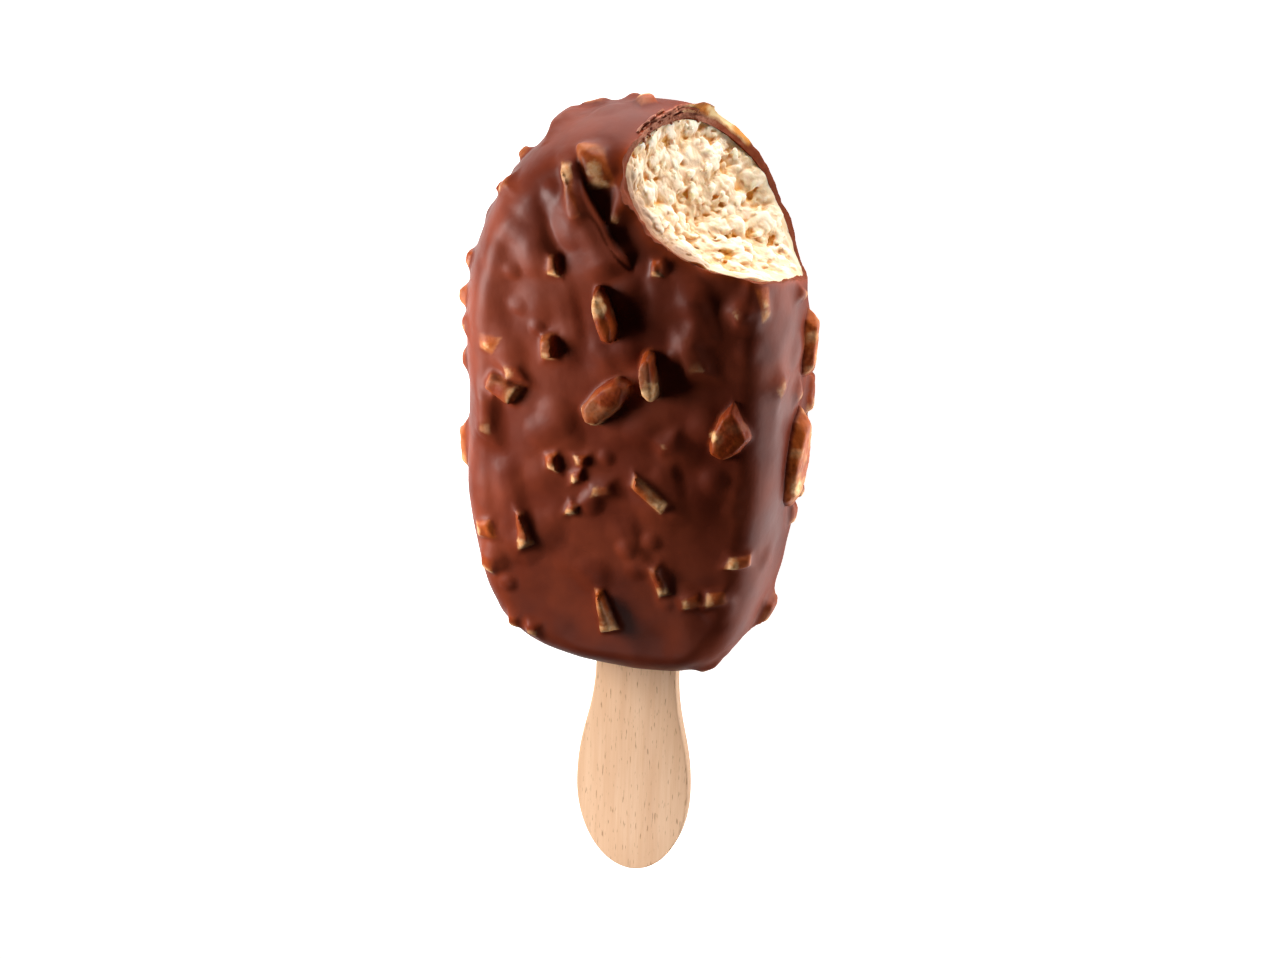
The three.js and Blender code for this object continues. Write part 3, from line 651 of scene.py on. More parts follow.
def chip_planes(spec, random):
    """Flat faces and top corners of a blocky chip in its own axes: across, along and out of the bar."""
    _, long, wide, rise, _, _ = spec
    height = rise + BURY
    taper = BROAD_TAPER if wide / long > BROAD else SLIM_TAPER
    inward = math.atan((1 - taper) * wide / 2 / height)
    planes = []
    for turn in (0.5 * math.pi, 1.5 * math.pi):
        planes.append(side_face(turn + CHIP_SKEW * (random() - 0.5), 0.45 * wide, inward))
    for turn in (0, math.pi):
        skew = 2.4 * CHIP_SKEW * (random() - 0.5)
        planes.append(side_face(turn + skew, 0.46 * long, inward + 0.25 * random()))
    slope = (random() - 0.5) * CHIP_SLOPE * rise / long
    lid = np.array([0.0, -slope, 1.0]) / math.hypot(1, slope)
    planes.append([*lid, lid @ np.array([0, 0, rise])])
    planes.append([0, 0, -1, BURY + 0.5])
    half_wide = taper * wide / 2
    half_long = 0.85 * long / 2
    top = np.array([[x, y, rise] for x in (-half_wide, half_wide) for y in (-half_long, half_long)])
    return np.array(planes), top


def roof(out, side, ridge, left, right):
    """Two slanting faces that meet in a ridge along a nut, in place of its flat top."""
    faces = []
    for tilt, way in ((left, -1), (right, 1)):
        normal = out * math.cos(tilt) + way * side * math.sin(tilt)
        faces.append([*normal, normal @ ridge])
    return faces


def chip_roof(spec, random):
    """A nearly flat top and one bevelled long edge of a chip, in its own axes."""
    _, _, wide, rise, _, _ = spec
    way = 1 if random() < 0.6 else -1
    ridge = np.array([way * (0.02 + 0.2 * random()) * wide, 0.0, rise])
    flat = math.radians(10 * random() - 1)
    bevel = math.atan(min(0.9, 1.1 * rise / wide)) * (0.6 + 0.4 * random())
    left, right = (flat, bevel) if way > 0 else (bevel, flat)
    return roof(np.array([0.0, 0.0, 1.0]), np.array([1.0, 0.0, 0.0]), ridge, left, right)


def blunt_ends(along, out, middle, half, random):
    """Two rough cuts across the pointed ends of a nut."""
    side = np.cross(along, out)
    faces = []
    for way in (-1, 1):
        turn = math.radians(50 * (random() - 0.5))
        tilt = math.radians(30 * random() - 5)
        flat = way * along * math.cos(turn) + side * math.sin(turn)
        normal = flat * math.cos(tilt) + out * math.sin(tilt)
        end = middle + way * along * half * (0.76 + 0.12 * random())
        faces.append([*normal, normal @ end])
    return faces


def broken_corners(planes, top, random, rise):
    """Adds slanting faces where corners have broken off the chip's top."""
    extra = []
    for _ in range(1 + (rise > 1.5)):
        around = 2 * math.pi * random()
        tilt = math.radians(35 + 25 * random())
        normal = np.array([
            math.sin(around) * math.sin(tilt),
            math.cos(around) * math.sin(tilt),
            math.cos(tilt),
        ])
        highest = (top @ normal).max()
        depth = (0.12 + 0.22 * random()) * min(highest - top.mean(0) @ normal, rise)
        extra.append([*normal, highest - depth])
    return np.vstack([planes, extra])


def chip_axes(body, spec):
    """The chip's place on the bar, and its across, along and outward axes."""
    point, normal = body.surface_at(spec[0])
    reference = np.array([0.0, 1.0, 0.0]) if abs(normal[1]) < 0.85 else np.array([1.0, 0.0, 0.0])
    along = reference - normal * (reference @ normal)
    along /= np.linalg.norm(along)
    across = np.cross(along, normal)
    turn = math.radians(spec[4])
    turned = along * math.cos(turn) + across * math.sin(turn)
    return point, np.stack([np.cross(turned, normal), turned, normal])


def is_bitten_away(point, margin):
    height, up, across = bite_coordinates(point[None])
    return height[0] > bite_height(up, across)[0] - margin


def hidden_chips(body):
    """Pieces for the back and the hidden flanks, as thickly strewn as on the shown face."""
    random = seeded_random(HIDDEN_SEED)
    chips = []
    known = [spec[0] for spec in FEET + FLANK_CHIPS] + list(LARGE_ALMOND_PLACES)
    taken = [body.surface_at(place)[0] for place in known]
    for _ in range(HIDDEN_TRIES):
        if len(chips) >= HIDDEN_BACK + HIDDEN_FLANK:
            break
        on_back = len(chips) < HIDDEN_BACK
        rim = outline_points(np.array([2 * math.pi * random()]), body.sizes)[0]
        share = 0.85 * math.sqrt(random()) if on_back else 1.0
        depth = -12.0 if on_back else -8 + 9 * random()
        rough = (rim[0] * share, rim[1] * share, depth)
        long = 2.2 + 4.2 * random() ** 1.5
        wide = long * (0.35 + 0.4 * random())
        rise = 0.6 + 0.7 * random() if on_back else 0.7 + 0.9 * random()
        turn = 180 * random()
        place = body.surface_at(rough)[0]
        near_stick = rough[1] < STICK_CLEAR[1] and abs(rough[0] - STICK_OFFSET) < STICK_CLEAR[0]
        crowded = any(np.linalg.norm(other - place) < HIDDEN_SPACING for other in taken)
        if crowded or near_stick or is_bitten_away(place, 3):
            continue
        taken.append(place)
        chips.append((rough, long, wide, rise, turn, 0.15 + 0.1 * (len(chips) % 5)))
    return chips


def small_nuts(body):
    """All the chips that are one with the coat."""
    random = seeded_random(CHIP_SEED)
    breaks = seeded_random(CHIP_SEED + 100)
    nuts = []
    for number, spec in enumerate([*FACE_CHIPS, *FLANK_CHIPS, *FEET, *hidden_chips(body)]):
        planes, top = chip_planes(spec, random)
        planes = broken_corners(planes, top, breaks, spec[3])
        planes = np.vstack([planes, chip_roof(spec, breaks)])
        point, axes = chip_axes(body, spec)
        normals = planes[:, :3] @ axes
        offsets = planes[:, 3] + normals @ point
        placed = np.hstack([normals, offsets[:, None]])
        reach = math.hypot(spec[1] / 2, spec[2] / 2) + 0.5
        salt = 10 + 3 * number
        lower = -1 if axes[1][1] > 0 else 1
        if number in BARE_ABOVE:
            lower = -lower
        spots = [(point + lower * 0.46 * spec[1] * axes[1] + 0.8 * spec[3] * axes[2], 0.5 + 0.28 * spec[1])]
        tone = 0.75 + 0.25 * breaks() if number in PALE_CHIPS else 0.4 * breaks()
        softness = 0.0
        if number in SOFT_CHIPS:
            softness = 0.5
            spots.append((point + spec[3] * axes[2], 0.4 + 0.3 * spec[2]))
        middle = point + 0.5 * spec[3] * axes[2]
        nuts.append(Nut(placed, middle, reach, spec[3], spec[5], salt, spots, tone, softness))
    return nuts


def large_roof(corners, middle, to_right, left, right):
    """The roof of a large almond on the shown face, along its length."""
    flat = corners[:, :2] - middle[:2]
    along = np.linalg.eigh(flat.T @ flat)[1][:, 1]
    side = np.array([along[1], -along[0], 0.0])
    side = side if side[0] > 0 else -side
    out = np.array([0.0, 0.0, 1.0])
    ridge = middle + to_right * side
    ridge[2] = corners[:, 2].max()
    along = np.array([*along, 0.0])
    half = np.abs((corners - middle) @ along).max()
    ends = blunt_ends(along, out, middle, half, seeded_random(ENDS_SEED))
    return roof(out, side, ridge, math.radians(left), math.radians(right)) + ends


def large_nuts(origin):
    """The almonds that are pieces of their own, with the flat faces of their solids."""
    nuts = []
    for number, name in enumerate(LARGE_ALMONDS):
        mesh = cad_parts[name].data
        corners = read_vertices(mesh) - origin
        corner_of = np.array(read_faces(mesh))
        first, second, third = (corners[corner_of[:, k]] for k in range(3))
        normal = np.cross(second - first, third - first)
        area = np.linalg.norm(normal, axis=1)
        keep = area > 1e-4
        normal = normal[keep] / area[keep][:, None]
        alike = normal @ normal.T > 0.995
        unique = np.flatnonzero(alike.argmax(1) == np.arange(len(normal)))
        normal = normal[unique]
        offset = (normal * first[keep][unique]).sum(1)
        middle = corners.mean(0)
        offset = np.maximum(offset, (corners @ normal.T).max(0) - 0.35)
        planes = np.hstack([normal, offset[:, None]])
        if name in RIDGES:
            planes = np.vstack([planes, large_roof(corners, middle, *RIDGES[name])])
        reach = np.linalg.norm(corners - middle, axis=1).max()
        tone = 1.0 if name in PALE_ALMONDS else 0.1
        salt = 900 + 3 * number
        nuts.append(Nut(planes, middle, reach, 2.2, 0.0, salt, THIN_SPOTS[name], tone, 0.13))
    return nuts


# ---------------------------------------------------------------- meshes


def read_vertices(mesh):
    values = np.empty(len(mesh.vertices) * 3)
    mesh.vertices.foreach_get("co", values)
    return values.reshape(-1, 3) / MM


def write_vertices(mesh, places):
    mesh.vertices.foreach_set("co", (np.asarray(places) * MM).ravel())
    mesh.update()


def mesh_object(name, places, faces):
    mesh = bpy.data.meshes.new(name)
    faces = faces if isinstance(faces, list) else faces.tolist()
    mesh.from_pydata((np.asarray(places) * MM).tolist(), [], faces)
    mesh.validate()
    piece = bpy.data.objects.new(name, mesh)
    bpy.context.collection.objects.link(piece)
    return piece


def grid_quads(rows, columns):
    """The numbers of a grid's points, and the quads between them."""
    index = np.arange(rows * columns).reshape(rows, columns)
    ring = [index[:-1, :-1], index[1:, :-1], index[1:, 1:], index[:-1, 1:]]
    return index, np.stack(ring, axis=-1).reshape(-1, 4)


def merged_object(name, parts):
    """One mesh made from several, each given as places and faces."""
    all_faces = []
    count = 0
    for places, faces in parts:
        all_faces += (np.array(faces) + count).tolist()
        count += len(places)
    return mesh_object(name, np.vstack([places for places, _ in parts]), all_faces)


def read_faces(mesh):
    return [list(polygon.vertices) for polygon in mesh.polygons]


def select_only(piece):
    bpy.ops.object.select_all(action="DESELECT")
    piece.select_set(True)
    bpy.context.view_layer.objects.active = piece


def face_outwards(piece):
    select_only(piece)
    bpy.ops.object.mode_set(mode="EDIT")
    bpy.ops.mesh.select_all(action="SELECT")
    bpy.ops.mesh.normals_make_consistent(inside=False)
    bpy.ops.object.mode_set(mode="OBJECT")


def apply_modifier(piece, kind, **settings):
    """Works a modifier's result into a piece's mesh."""
    select_only(piece)
    modifier = piece.modifiers.new(kind.lower(), kind)
    for key, value in settings.items():
        setattr(modifier, key, value)
    bpy.ops.object.modifier_apply(modifier=modifier.name)


def cut_away(piece, tool):
    """Takes a tool's space out of a piece and deletes the tool."""
    apply_modifier(piece, "BOOLEAN", operation="DIFFERENCE", solver="MANIFOLD", object=tool)
    bpy.data.objects.remove(tool)
    if len(piece.data.polygons) == 0:
        raise RuntimeError(f"the cut left nothing of {piece.name}")


def shift_to_frame(piece, origin):
    """Moves a finished mesh from the bar's own axes to the place that the solid model gives it."""
    piece.data.transform(Matrix.Translation(Vector(origin * MM)))
    piece.data.update()


def field_surface(field, low, high, step):
    """A mesh of quads over the surface of a field."""
    counts = np.ceil((np.array(high) - np.array(low)) / step).astype(int) + 1
    axes = [low[axis] + step * np.arange(counts[axis]) for axis in range(3)]
    grid = np.stack(np.meshgrid(*axes, indexing="ij"), axis=-1).reshape(-1, 3)
    return net_surface(field(grid).reshape(counts), low, step)


def net_surface(values, low, step):
    """A mesh of quads over the places where the values on a grid change sign."""
    counts = np.array(values.shape)
    inside = values < 0
    count = np.zeros(counts - 1, np.int8)
    for corner in range(8):
        i, j, k = corner & 1, (corner >> 1) & 1, corner >> 2
        count += inside[i:counts[0] - 1 + i, j:counts[1] - 1 + j, k:counts[2] - 1 + k]
    mixed = (count > 0) & (count < 8)
    index = np.full(counts - 1, -1)
    index[mixed] = np.arange(mixed.sum())
    cells = np.argwhere(mixed)
    total = np.zeros((len(cells), 3))
    crossings = np.zeros(len(cells))
    for axis in range(3):
        others = [other for other in range(3) if other != axis]
        for pair in range(4):
            start = np.zeros(3, int)
            start[others[0]] = pair & 1
            start[others[1]] = pair >> 1
            end = start.copy()
            end[axis] = 1
            first = values[tuple((cells + start).T)]
            last = values[tuple((cells + end).T)]
            crossed = (first < 0) != (last < 0)
            share = first[crossed] / (first[crossed] - last[crossed])
            place = np.tile(start.astype(float), (len(share), 1))
            place[:, axis] += share
            total[crossed] += place
            crossings[crossed] += 1
    places = np.array(low) + step * (cells + total / crossings[:, None])
    quads = []
    for axis in range(3):
        u, v = [(axis + 1) % 3, (axis + 2) % 3]
        head = [slice(None)] * 3
        tail = [slice(None)] * 3
        head[axis] = slice(0, -1)
        tail[axis] = slice(1, None)
        change = inside[tuple(head)] != inside[tuple(tail)]
        edges = np.argwhere(change)
        edges = edges[(edges[:, u] > 0) & (edges[:, v] > 0)]
        edges = edges[(edges[:, u] < counts[u] - 1) & (edges[:, v] < counts[v] - 1)]
        back_u = np.zeros(3, int)
        back_u[u] = 1
        back_v = np.zeros(3, int)
        back_v[v] = 1
        ring = [edges, edges - back_u, edges - back_u - back_v, edges - back_v]
        quad = np.stack([index[tuple(corner.T)] for corner in ring], axis=1)
        starts_inside = inside[tuple(edges.T)]
        quad[~starts_inside] = quad[~starts_inside][:, ::-1]
        quads.append(quad)
    return places, np.vstack(quads)


def settle(field, places, step, rounds=2):
    """Moves the mesh's points onto the exact surface."""
    for _ in range(rounds):
        value = field(places)
        slope = np.stack([(field(places + step * axis) - value) / step for axis in np.eye(3)], axis=1)
        length = np.maximum((slope * slope).sum(1), 0.2)
        move = -(value / length)[:, None] * slope
        reach = np.linalg.norm(move, axis=1, keepdims=True)
        places = places + move * np.minimum(1, step / np.maximum(reach, 1e-9))
    return places


def inside_cad_box(places, origin):
    """Keeps places within the solid model's box."""
    low, high = [np.array(corner) / MM - origin for corner in CAD_BOUNDS]
    return np.clip(places, low, high)


def add_values(piece, names, columns):
    """Gives a mesh named values at its points, for its material to read."""
    for name, values in zip(names, columns):
        layer = piece.data.attributes.new(name, "FLOAT", "POINT")
        layer.data.foreach_set("value", np.asarray(values, np.float32))


def smooth_faces(piece, degrees):
    select_only(piece)
    bpy.ops.object.shade_smooth_by_angle(angle=math.radians(degrees))


def frame_origin():
    """The bar's middle in the solid model's axes, read from where the stick lies."""
    low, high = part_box("stick")
    return np.array([
        (low[0] + high[0]) / 2 / MM - STICK_OFFSET,
        low[1] / MM - STICK_TIP,
        (low[2] + high[2]) / 2 / MM,
    ])


def finish_piece(piece, degrees, material, slot, *nodes):
    """Puts a finished mesh in its place on the body, smooth up to an angle."""
    shift_to_frame(piece, frame_origin())
    smooth_faces(piece, degrees)
    piece.data.materials.clear()
    piece.data.materials.append(material)
    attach(piece, ROOT)
    if nodes:
        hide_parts(*nodes)


# ---------------------------------------------------------------- chocolate coat


def film_values(points, body, nuts):
    """For each point: how much filmed nut shows, how bare the nut is there, and the nut's own tone."""
    shown = np.zeros(len(points))
    bare = np.zeros(len(points))
    tone = np.zeros(len(points))
    above = body.distance(points)
    for nut in nuts:
        near = nut.near(points, 1.5)
        if not len(near):
            continue
        close = points[near]
        faces = nut.faces(close)
        highest = faces.max(1)
        height = above[near] / max(nut.rise, 0.5)
        film = (1 - smoothstep(0.1, 0.45, highest)) * smoothstep(0.04, 0.35 + 0.3 * nut.cover, height)
        film *= 1 - 0.85 * nut.cover
        patchy = smoothstep(-0.1, 0.6, noise(close, 1.8, nut.salt + 5))
        thin = np.zeros(len(near))
        for place, radius in nut.spots:
            distance = np.linalg.norm(close - place, axis=1) / radius
            distance = distance + 0.25 * noise(close, 0.6, nut.salt + 6)
            thin = np.maximum(thin, 1 - smoothstep(0.5, 1.0, distance))
        nakedness = film * np.maximum(nut.worn * patchy, thin * (0.7 + 0.3 * patchy))
        better = film > shown[near]
        chosen = near[better]
        shown[chosen] = film[better]
        bare[chosen] = nakedness[better]
        tone[chosen] = nut.tone
    return shown, bare, tone


def broken_values(points, body, break_rule):
    """For each point: how much it is broken, bitten almond, almond skin, near the rim and on the ledge."""
    height, up, across = bite_coordinates(points)
    gap = height - (bite_height(up, across) - break_rule(up, across))
    broken = (np.abs(gap) < 0.06) & (body.distance(points) < 1.5)
    wavy = 0.25 * noise(points, 1.4, 91)
    start, end = BITTEN_ALMOND_ACROSS
    along = smoothstep(start, start + 0.8, across) * (1 - smoothstep(end - 0.8, end, across))
    outer, inner = BITTEN_ALMOND_DEPTH
    depth = body.distance(points) + wavy
    within = smoothstep(inner - 0.15, inner + 0.15, depth)
    within = within * (1 - smoothstep(outer - 0.15, outer + 0.15, depth))
    golden = along * within * (up < BITTEN_ALMOND_UP)
    outer_skin = smoothstep(outer - 0.4, outer - 0.1, depth)
    inner_skin = 1 - smoothstep(inner + 0.05, inner + 0.3, depth)
    skin = np.maximum(outer_skin, inner_skin)
    near_rim = np.exp(np.minimum(gap, 0) / 0.9) * (np.abs(depth) < 2) * (gap < 0.3)
    ledge = smoothstep(9.0, 12.0, -across) * (1 - smoothstep(LEDGE_FRONT, LEDGE_END, up))
    return broken.astype(float), golden, golden * skin, near_rim, ledge


def drift_height(points):
    """How much the banks of chocolate on the shown face raise its surface."""
    raised = np.zeros(len(points))
    flat = points[:, :2]
    for start, end, rise, rise_there, gentle, steep in DRIFTS:
        start = np.array(start)
        along = np.array(end) - start
        length = math.hypot(*along)
        along = along / length
        aside = np.array([-along[1], along[0]])
        share = (flat - start) @ along / length
        offset = (flat - start) @ aside + 0.35 * noise(flat, 3.0, 47)
        slope = 1 - smoothstep(0.2 * gentle, gentle, -offset)
        side = np.where(offset > 0, 1 - smoothstep(0, steep, offset), slope)
        ends = smoothstep(-0.25, 0.15, share) * (1 - smoothstep(0.75, 1.05, share))
        height = (rise + (rise_there - rise) * np.clip(share, 0, 1)) * side * ends
        raised = np.maximum(raised, height)
    return raised * (points[:, 2] > 0)


class CoatField:
    """The coat's outer surface, as a signed distance: body, waves, nuts with fillets, and the floor."""

    def __init__(self, body, nuts, large, lumps):
        self.body = body
        self.nuts = nuts
        self.large = large
        self.lumps = lumps

    def __call__(self, points):
        values = self.body.distance(points)
        near = np.flatnonzero(np.abs(values) < 5.5)
        close = points[near]
        local = values[near]
        for size, height, salt in WAVES:
            local = local - height * noise(close, size, salt)
        for place, radius, height in self.lumps:
            offset = close - place
            squared = (offset * offset).sum(1) / radius**2
            inside = squared < 1
            local[inside] -= height * (1 - squared[inside]) ** 2
        local -= drift_height(close)
        for nut in self.large:
            here = nut.near(close)
            local[here] = smooth_min(local[here], nut.distance(close[here]) + 0.25, 0.7)
        for nut in self.nuts:
            here = nut.near(close)
            local[here] = smooth_min(local[here], nut.distance(close[here]) - 0.1 * nut.cover, nut.fillet)
        values[near] = local
        return np.maximum(values, FLOOR - points[:, 2])


def soft_lumps(body):
    """Low swellings where chocolate has run together or covers a crumb of nut."""
    random = seeded_random(LUMP_SEED)
    lumps = []
    for _ in range(LUMP_COUNT):
        angle = 2 * math.pi * random()
        rim = outline_points(np.array([angle]), body.sizes)[0]
        share = math.sqrt(random())
        side = 12 if random() < 0.6 else -12
        depth = side if share < 0.9 else side * (2 * random() - 1) * 0.6
        place, _ = body.surface_at((rim[0] * share, rim[1] * share, depth))
        lumps.append((place, 1.6 + 3.4 * random(), 0.2 + 0.45 * random()))
    return lumps


def ledge_height(up, across):
    grown = smoothstep(LEDGE_FROM, LEDGE_TO, -across)
    return LEDGE * grown * (1 - smoothstep(LEDGE_FRONT, LEDGE_END, up))


def coat_break(body):
    """A rule for how much lower the broken edge lies than the scoop, with layers at the thick top end."""

    def lowered(up, across):
        flat = np.stack([up, across], axis=1)
        jagged = 0.3 * noise(flat, 2.4, 61) + 0.14 * noise(flat, 0.9, 62) + 0.07 * noise(flat, 0.4, 64)
        places = scoop_places(bite_height(up, across), up, across)
        depth = -body.distance(places)
        layer = np.floor(depth / LAYER)
        breaks = noise(np.stack([up / 3.0, across / 3.0, layer * 5.0], axis=1), 1.0, 63)
        ledge = ledge_height(up, across)
        steps = np.clip(0.55 * (layer - 1) + 0.7 * breaks, -0.6, 2.2)
        return jagged - ledge + steps * np.minimum(ledge / LEDGE, 1)

    return lowered


# ---------------------------------------------------------------- ice cream


def crag_height(up, across):
    """Relief of the bitten ice cream in the solid model."""
    height = 0
    for octave, (cell, amount) in enumerate(CRAG_SIZES):
        height = height + amount * crag_noise(up / cell, across / cell, octave)
    return height


def scoop_places(height, up, across):
    """Places at a height over the bite's plane, and up and across it."""
    places = BITE_CENTRE + np.multiply.outer(height, BITE_NORMAL)
    return places + np.multiply.outer(up, BITE_UP) + np.multiply.outer(across, BITE_ACROSS)


class TornSurface:
    """The torn surface of the ice cream: values on a grid along the scoop, negative inside the ice cream.

    The grid's axes are up and across the bite, and the lift over the scoop.
    """

    def __init__(self, body, sizes, cell):
        self.cell = cell
        self.low = np.array([-TORN_HALF_UP, -TORN_HALF_ACROSS, TORN_FROM])
        high = np.array([TORN_HALF_UP, TORN_HALF_ACROSS, TORN_TO])
        counts = np.ceil((high - self.low) / cell).astype(int) + 1
        ups, acrosses, lifts = [self.low[axis] + cell * np.arange(counts[axis]) for axis in range(3)]
        up, across = np.meshgrid(ups, acrosses, indexing="ij")
        rim = scoop_places(bite_height(up, across), up, across).reshape(-1, 3)
        depth = -body.distance(rim).reshape(up.shape) - sizes.coat
        self.calm = smoothstep(0.2, SMOOTH_BORDER, depth) * (1 - 0.5 * smoothstep(7.5, 10, up))
        self.inside = depth > -1
        flat = np.stack([up.ravel(), across.ravel()], axis=1)
        patches = noise(flat, 4.4, 75) + 0.5 * noise(flat, 2.0, 76)
        self.lively = smoothstep(-1.15, -0.35, patches).reshape(up.shape)
        relief = (0.8 * crag_height(up, across) - SCOOPED) * (0.3 + 0.7 * self.calm)
        self.values = 0.85 * (lifts[None, None, :] - relief[:, :, None])
        random = np.random.default_rng(CRUMB_SEED)
        hollows = iter(HOLLOWS)
        for kind in CRUMBS:
            self.strew(random, kind, False)
            taken = next(hollows, None)
            if taken:
                self.strew(random, taken, True)
        self.roughen()
        self.levels = self.surface_levels()

    def strew(self, random, kind, hollow):
        count, smallest, largest, share, joint = kind
        for up, across, size, sink, turn, stretch in random.random((count, 6)):
            i = int(up * self.values.shape[0])
            j = int(across * self.values.shape[1])
            calm = self.calm[i, j]
            if not self.inside[i, j] or calm < 0.1 * sink + 0.05:
                continue
            if largest < 1.2 and self.lively[i, j] < sink:
                continue
            radius = (smallest + (largest - smallest) * size**2) * (0.45 + 0.55 * calm)
            column = np.flatnonzero(self.values[i, j] < 0)
            if not len(column):
                continue
            level = self.low[2] + self.cell * column[-1]
            offset = radius * (2 * share - 1 + 0.5 * (sink - 0.5))
            centre = np.array([self.low[0] + i * self.cell, self.low[1] + j * self.cell, level + offset])
            self.stamp(centre, radius, joint, hollow, math.pi * turn, 1 + 0.9 * stretch)

    def stamp(self, centre, radius, joint, hollow, turn, stretch):
        """Joins a long ball to the ice cream, or takes it out."""
        reach = radius * stretch + joint
        first = np.maximum(np.floor((centre - reach - self.low) / self.cell).astype(int), 0)
        last = np.minimum(np.ceil((centre + reach - self.low) / self.cell).astype(int) + 1, self.values.shape)
        if np.any(first >= last):
            return
        x, y, z = [self.low[k] + self.cell * np.arange(first[k], last[k]) - centre[k] for k in range(3)]
        along = (x[:, None] * math.cos(turn) + y[None, :] * math.sin(turn)) / stretch
        side = y[None, :] * math.cos(turn) - x[:, None] * math.sin(turn)
        ball = np.sqrt((along**2 + side**2)[:, :, None] + z[None, None, :] ** 2) - radius
        part = self.values[first[0]:last[0], first[1]:last[1], first[2]:last[2]]
        part[...] = -smooth_min(-part, ball, joint) if hollow else smooth_min(part, ball, joint)

    def roughen(self):
        """Covers the surface with rounded puffs that meet in sharp creases."""
        near = np.argwhere(np.abs(self.values) < 0.8)
        places = self.low + self.cell * near
        warped = places + 0.4 * bent_noise(places, 1.5, 77)
        calm = 0.25 + 0.75 * self.calm[near[:, 0], near[:, 1]]
        lively = self.lively[near[:, 0], near[:, 1]]
        change = np.full(len(near), 0.15)
        for number, (cell, height) in enumerate(PUFFS):
            amount = height * np.abs(noise(warped, cell, 71 + number))
            change -= amount if cell > 0.8 else amount * (0.3 + 0.7 * lively)
        self.values[tuple(near.T)] += calm * change

    def surface_levels(self):
        inside = self.values < 0
        top = self.values.shape[2] - 1 - np.argmax(inside[:, :, ::-1], axis=2)
        return self.low[2] + self.cell * top

    def tool(self, name):
        """A closed block over the torn surface, to cut the ice cream with."""
        values = -self.values
        for axis in range(3):
            ends = [slice(None)] * 3
            for end in (0, -1):
                ends[axis] = end
                values[tuple(ends)] = 1.0
        places, quads = net_surface(values, self.low, self.cell)
        places = places + 0.12 * bent_noise(places, 1.1, 81)
        up, across, lift = places.T
        return mesh_object(name, scoop_places(bite_height(up, across) + lift, up, across), quads)

    def pits(self, points):
        """How deep under its surroundings each point lies, used for painted shade in the pits, and how much
        painted shade, partly chocolate staining, darkens it under the front rim.
        """
        height, up, across = bite_coordinates(points)
        lift = height - bite_height(up, across)
        reach = int(round(1.3 / self.cell))
        around = self.levels
        for axis in (0, 1):
            around = sum(np.roll(around, shift, axis) for shift in range(-reach, reach + 1)) / (2 * reach + 1)
        i = np.clip(((up - self.low[0]) / self.cell).astype(int), 0, self.levels.shape[0] - 1)
        j = np.clip(((across - self.low[1]) / self.cell).astype(int), 0, self.levels.shape[1] - 1)
        # Painted shade, partly chocolate staining, in a band under the front rim of the bite.
        wavy = up + 0.7 * noise(points, 2.2, 95) + 0.4 * noise(points, 0.8, 96)
        rim_shade_and_stain = smoothstep(6.6, 11.0, wavy) * (1 - 0.75 * smoothstep(0, 6, across))
        rim_shade_and_stain = rim_shade_and_stain * smoothstep(-19, -10, across)
        return np.clip((around[i, j] - lift) * (0.4 + 0.6 * self.calm[i, j]), -1.5, 1.5), rim_shade_and_stain


# ---------------------------------------------------------------- flakes


def rim_across(body, up, depth):
    """Where across the bite, towards the bar's top end, the coat lies at a depth under the body's surface."""
    across = np.linspace(-21, -9, 241)
    ups = np.full(len(across), up)
    places = scoop_places(bite_height(ups, across), ups, across)
    return np.interp(depth, np.maximum.accumulate(-body.distance(places)), across)


def flake_sheet(body, start, end, depth, height, lean, salt):
    """A thin sheet that follows the rim, with a ragged upper edge."""
    columns = max(8, int(abs(end - start) / 0.18))
    rows = 9
    ups = np.linspace(start, end, columns)
    share = np.linspace(0, 1, columns)
    line = np.stack([ups, 0 * ups], axis=1)
    ragged = noise(line, 1.1, salt) + 0.6 * noise(line, 0.4, salt + 1)
    top = height * (0.82 + 0.2 * ragged) * np.sin(math.pi * np.clip(share * 0.9 + 0.05, 0, 1)) ** 0.35
    waves = 0.12 * noise(line, 0.8, salt + 2)
    rim = np.array([rim_across(body, up, depth) for up in ups]) + waves
    lifts = np.linspace(0.1, 1, rows)
    up = np.repeat(ups, rows)
    lift = np.outer(top, lifts).ravel()
    across = np.repeat(rim, rows) + lean * np.maximum(lift - 0.8, 0) ** 2
    places = scoop_places(bite_height(up, across) + lift - 0.4, up, across)
    return places, grid_quads(columns, rows)[1]


def crumb_ball(centre, radius, salt):
    """A small rough crumb."""
    bpy.ops.mesh.primitive_ico_sphere_add(subdivisions=2, radius=1)
    ball = bpy.context.object
    unit = read_vertices(ball.data) * MM
    bumpy = 1 + 0.35 * noise(unit * 1.3 + salt * 7.1, 0.9, salt)
    places = centre + unit * bumpy[:, None] * radius
    faces = read_faces(ball.data)
    bpy.data.objects.remove(ball)
    return places, faces


# ---------------------------------------------------------------- materials


def new_material(name):
    material = bpy.data.materials.new(name)
    material.use_nodes = True
    tree = material.node_tree
    shader = tree.nodes["Principled BSDF"]
    return material, tree, shader


def feed(tree, made, inputs):
    """Links a node's inputs to other nodes' outputs, or sets them to constants."""
    for key, value in inputs.items():
        socket = made.inputs[key]
        if isinstance(value, bpy.types.NodeSocket):
            tree.links.new(value, socket)
        else:
            socket.default_value = value


def node(tree, kind, inputs=None, **settings):
    made = tree.nodes.new(kind)
    for key, value in settings.items():
        setattr(made, key, value)
    feed(tree, made, inputs or {})
    return made


def linear(red, green, blue):
    """A colour given as it looks on a screen, as the renderer counts it."""
    values = [channel / 255 for channel in (red, green, blue)]
    return (*[v / 12.92 if v <= 0.04045 else ((v + 0.055) / 1.055) ** 2.4 for v in values], 1.0)


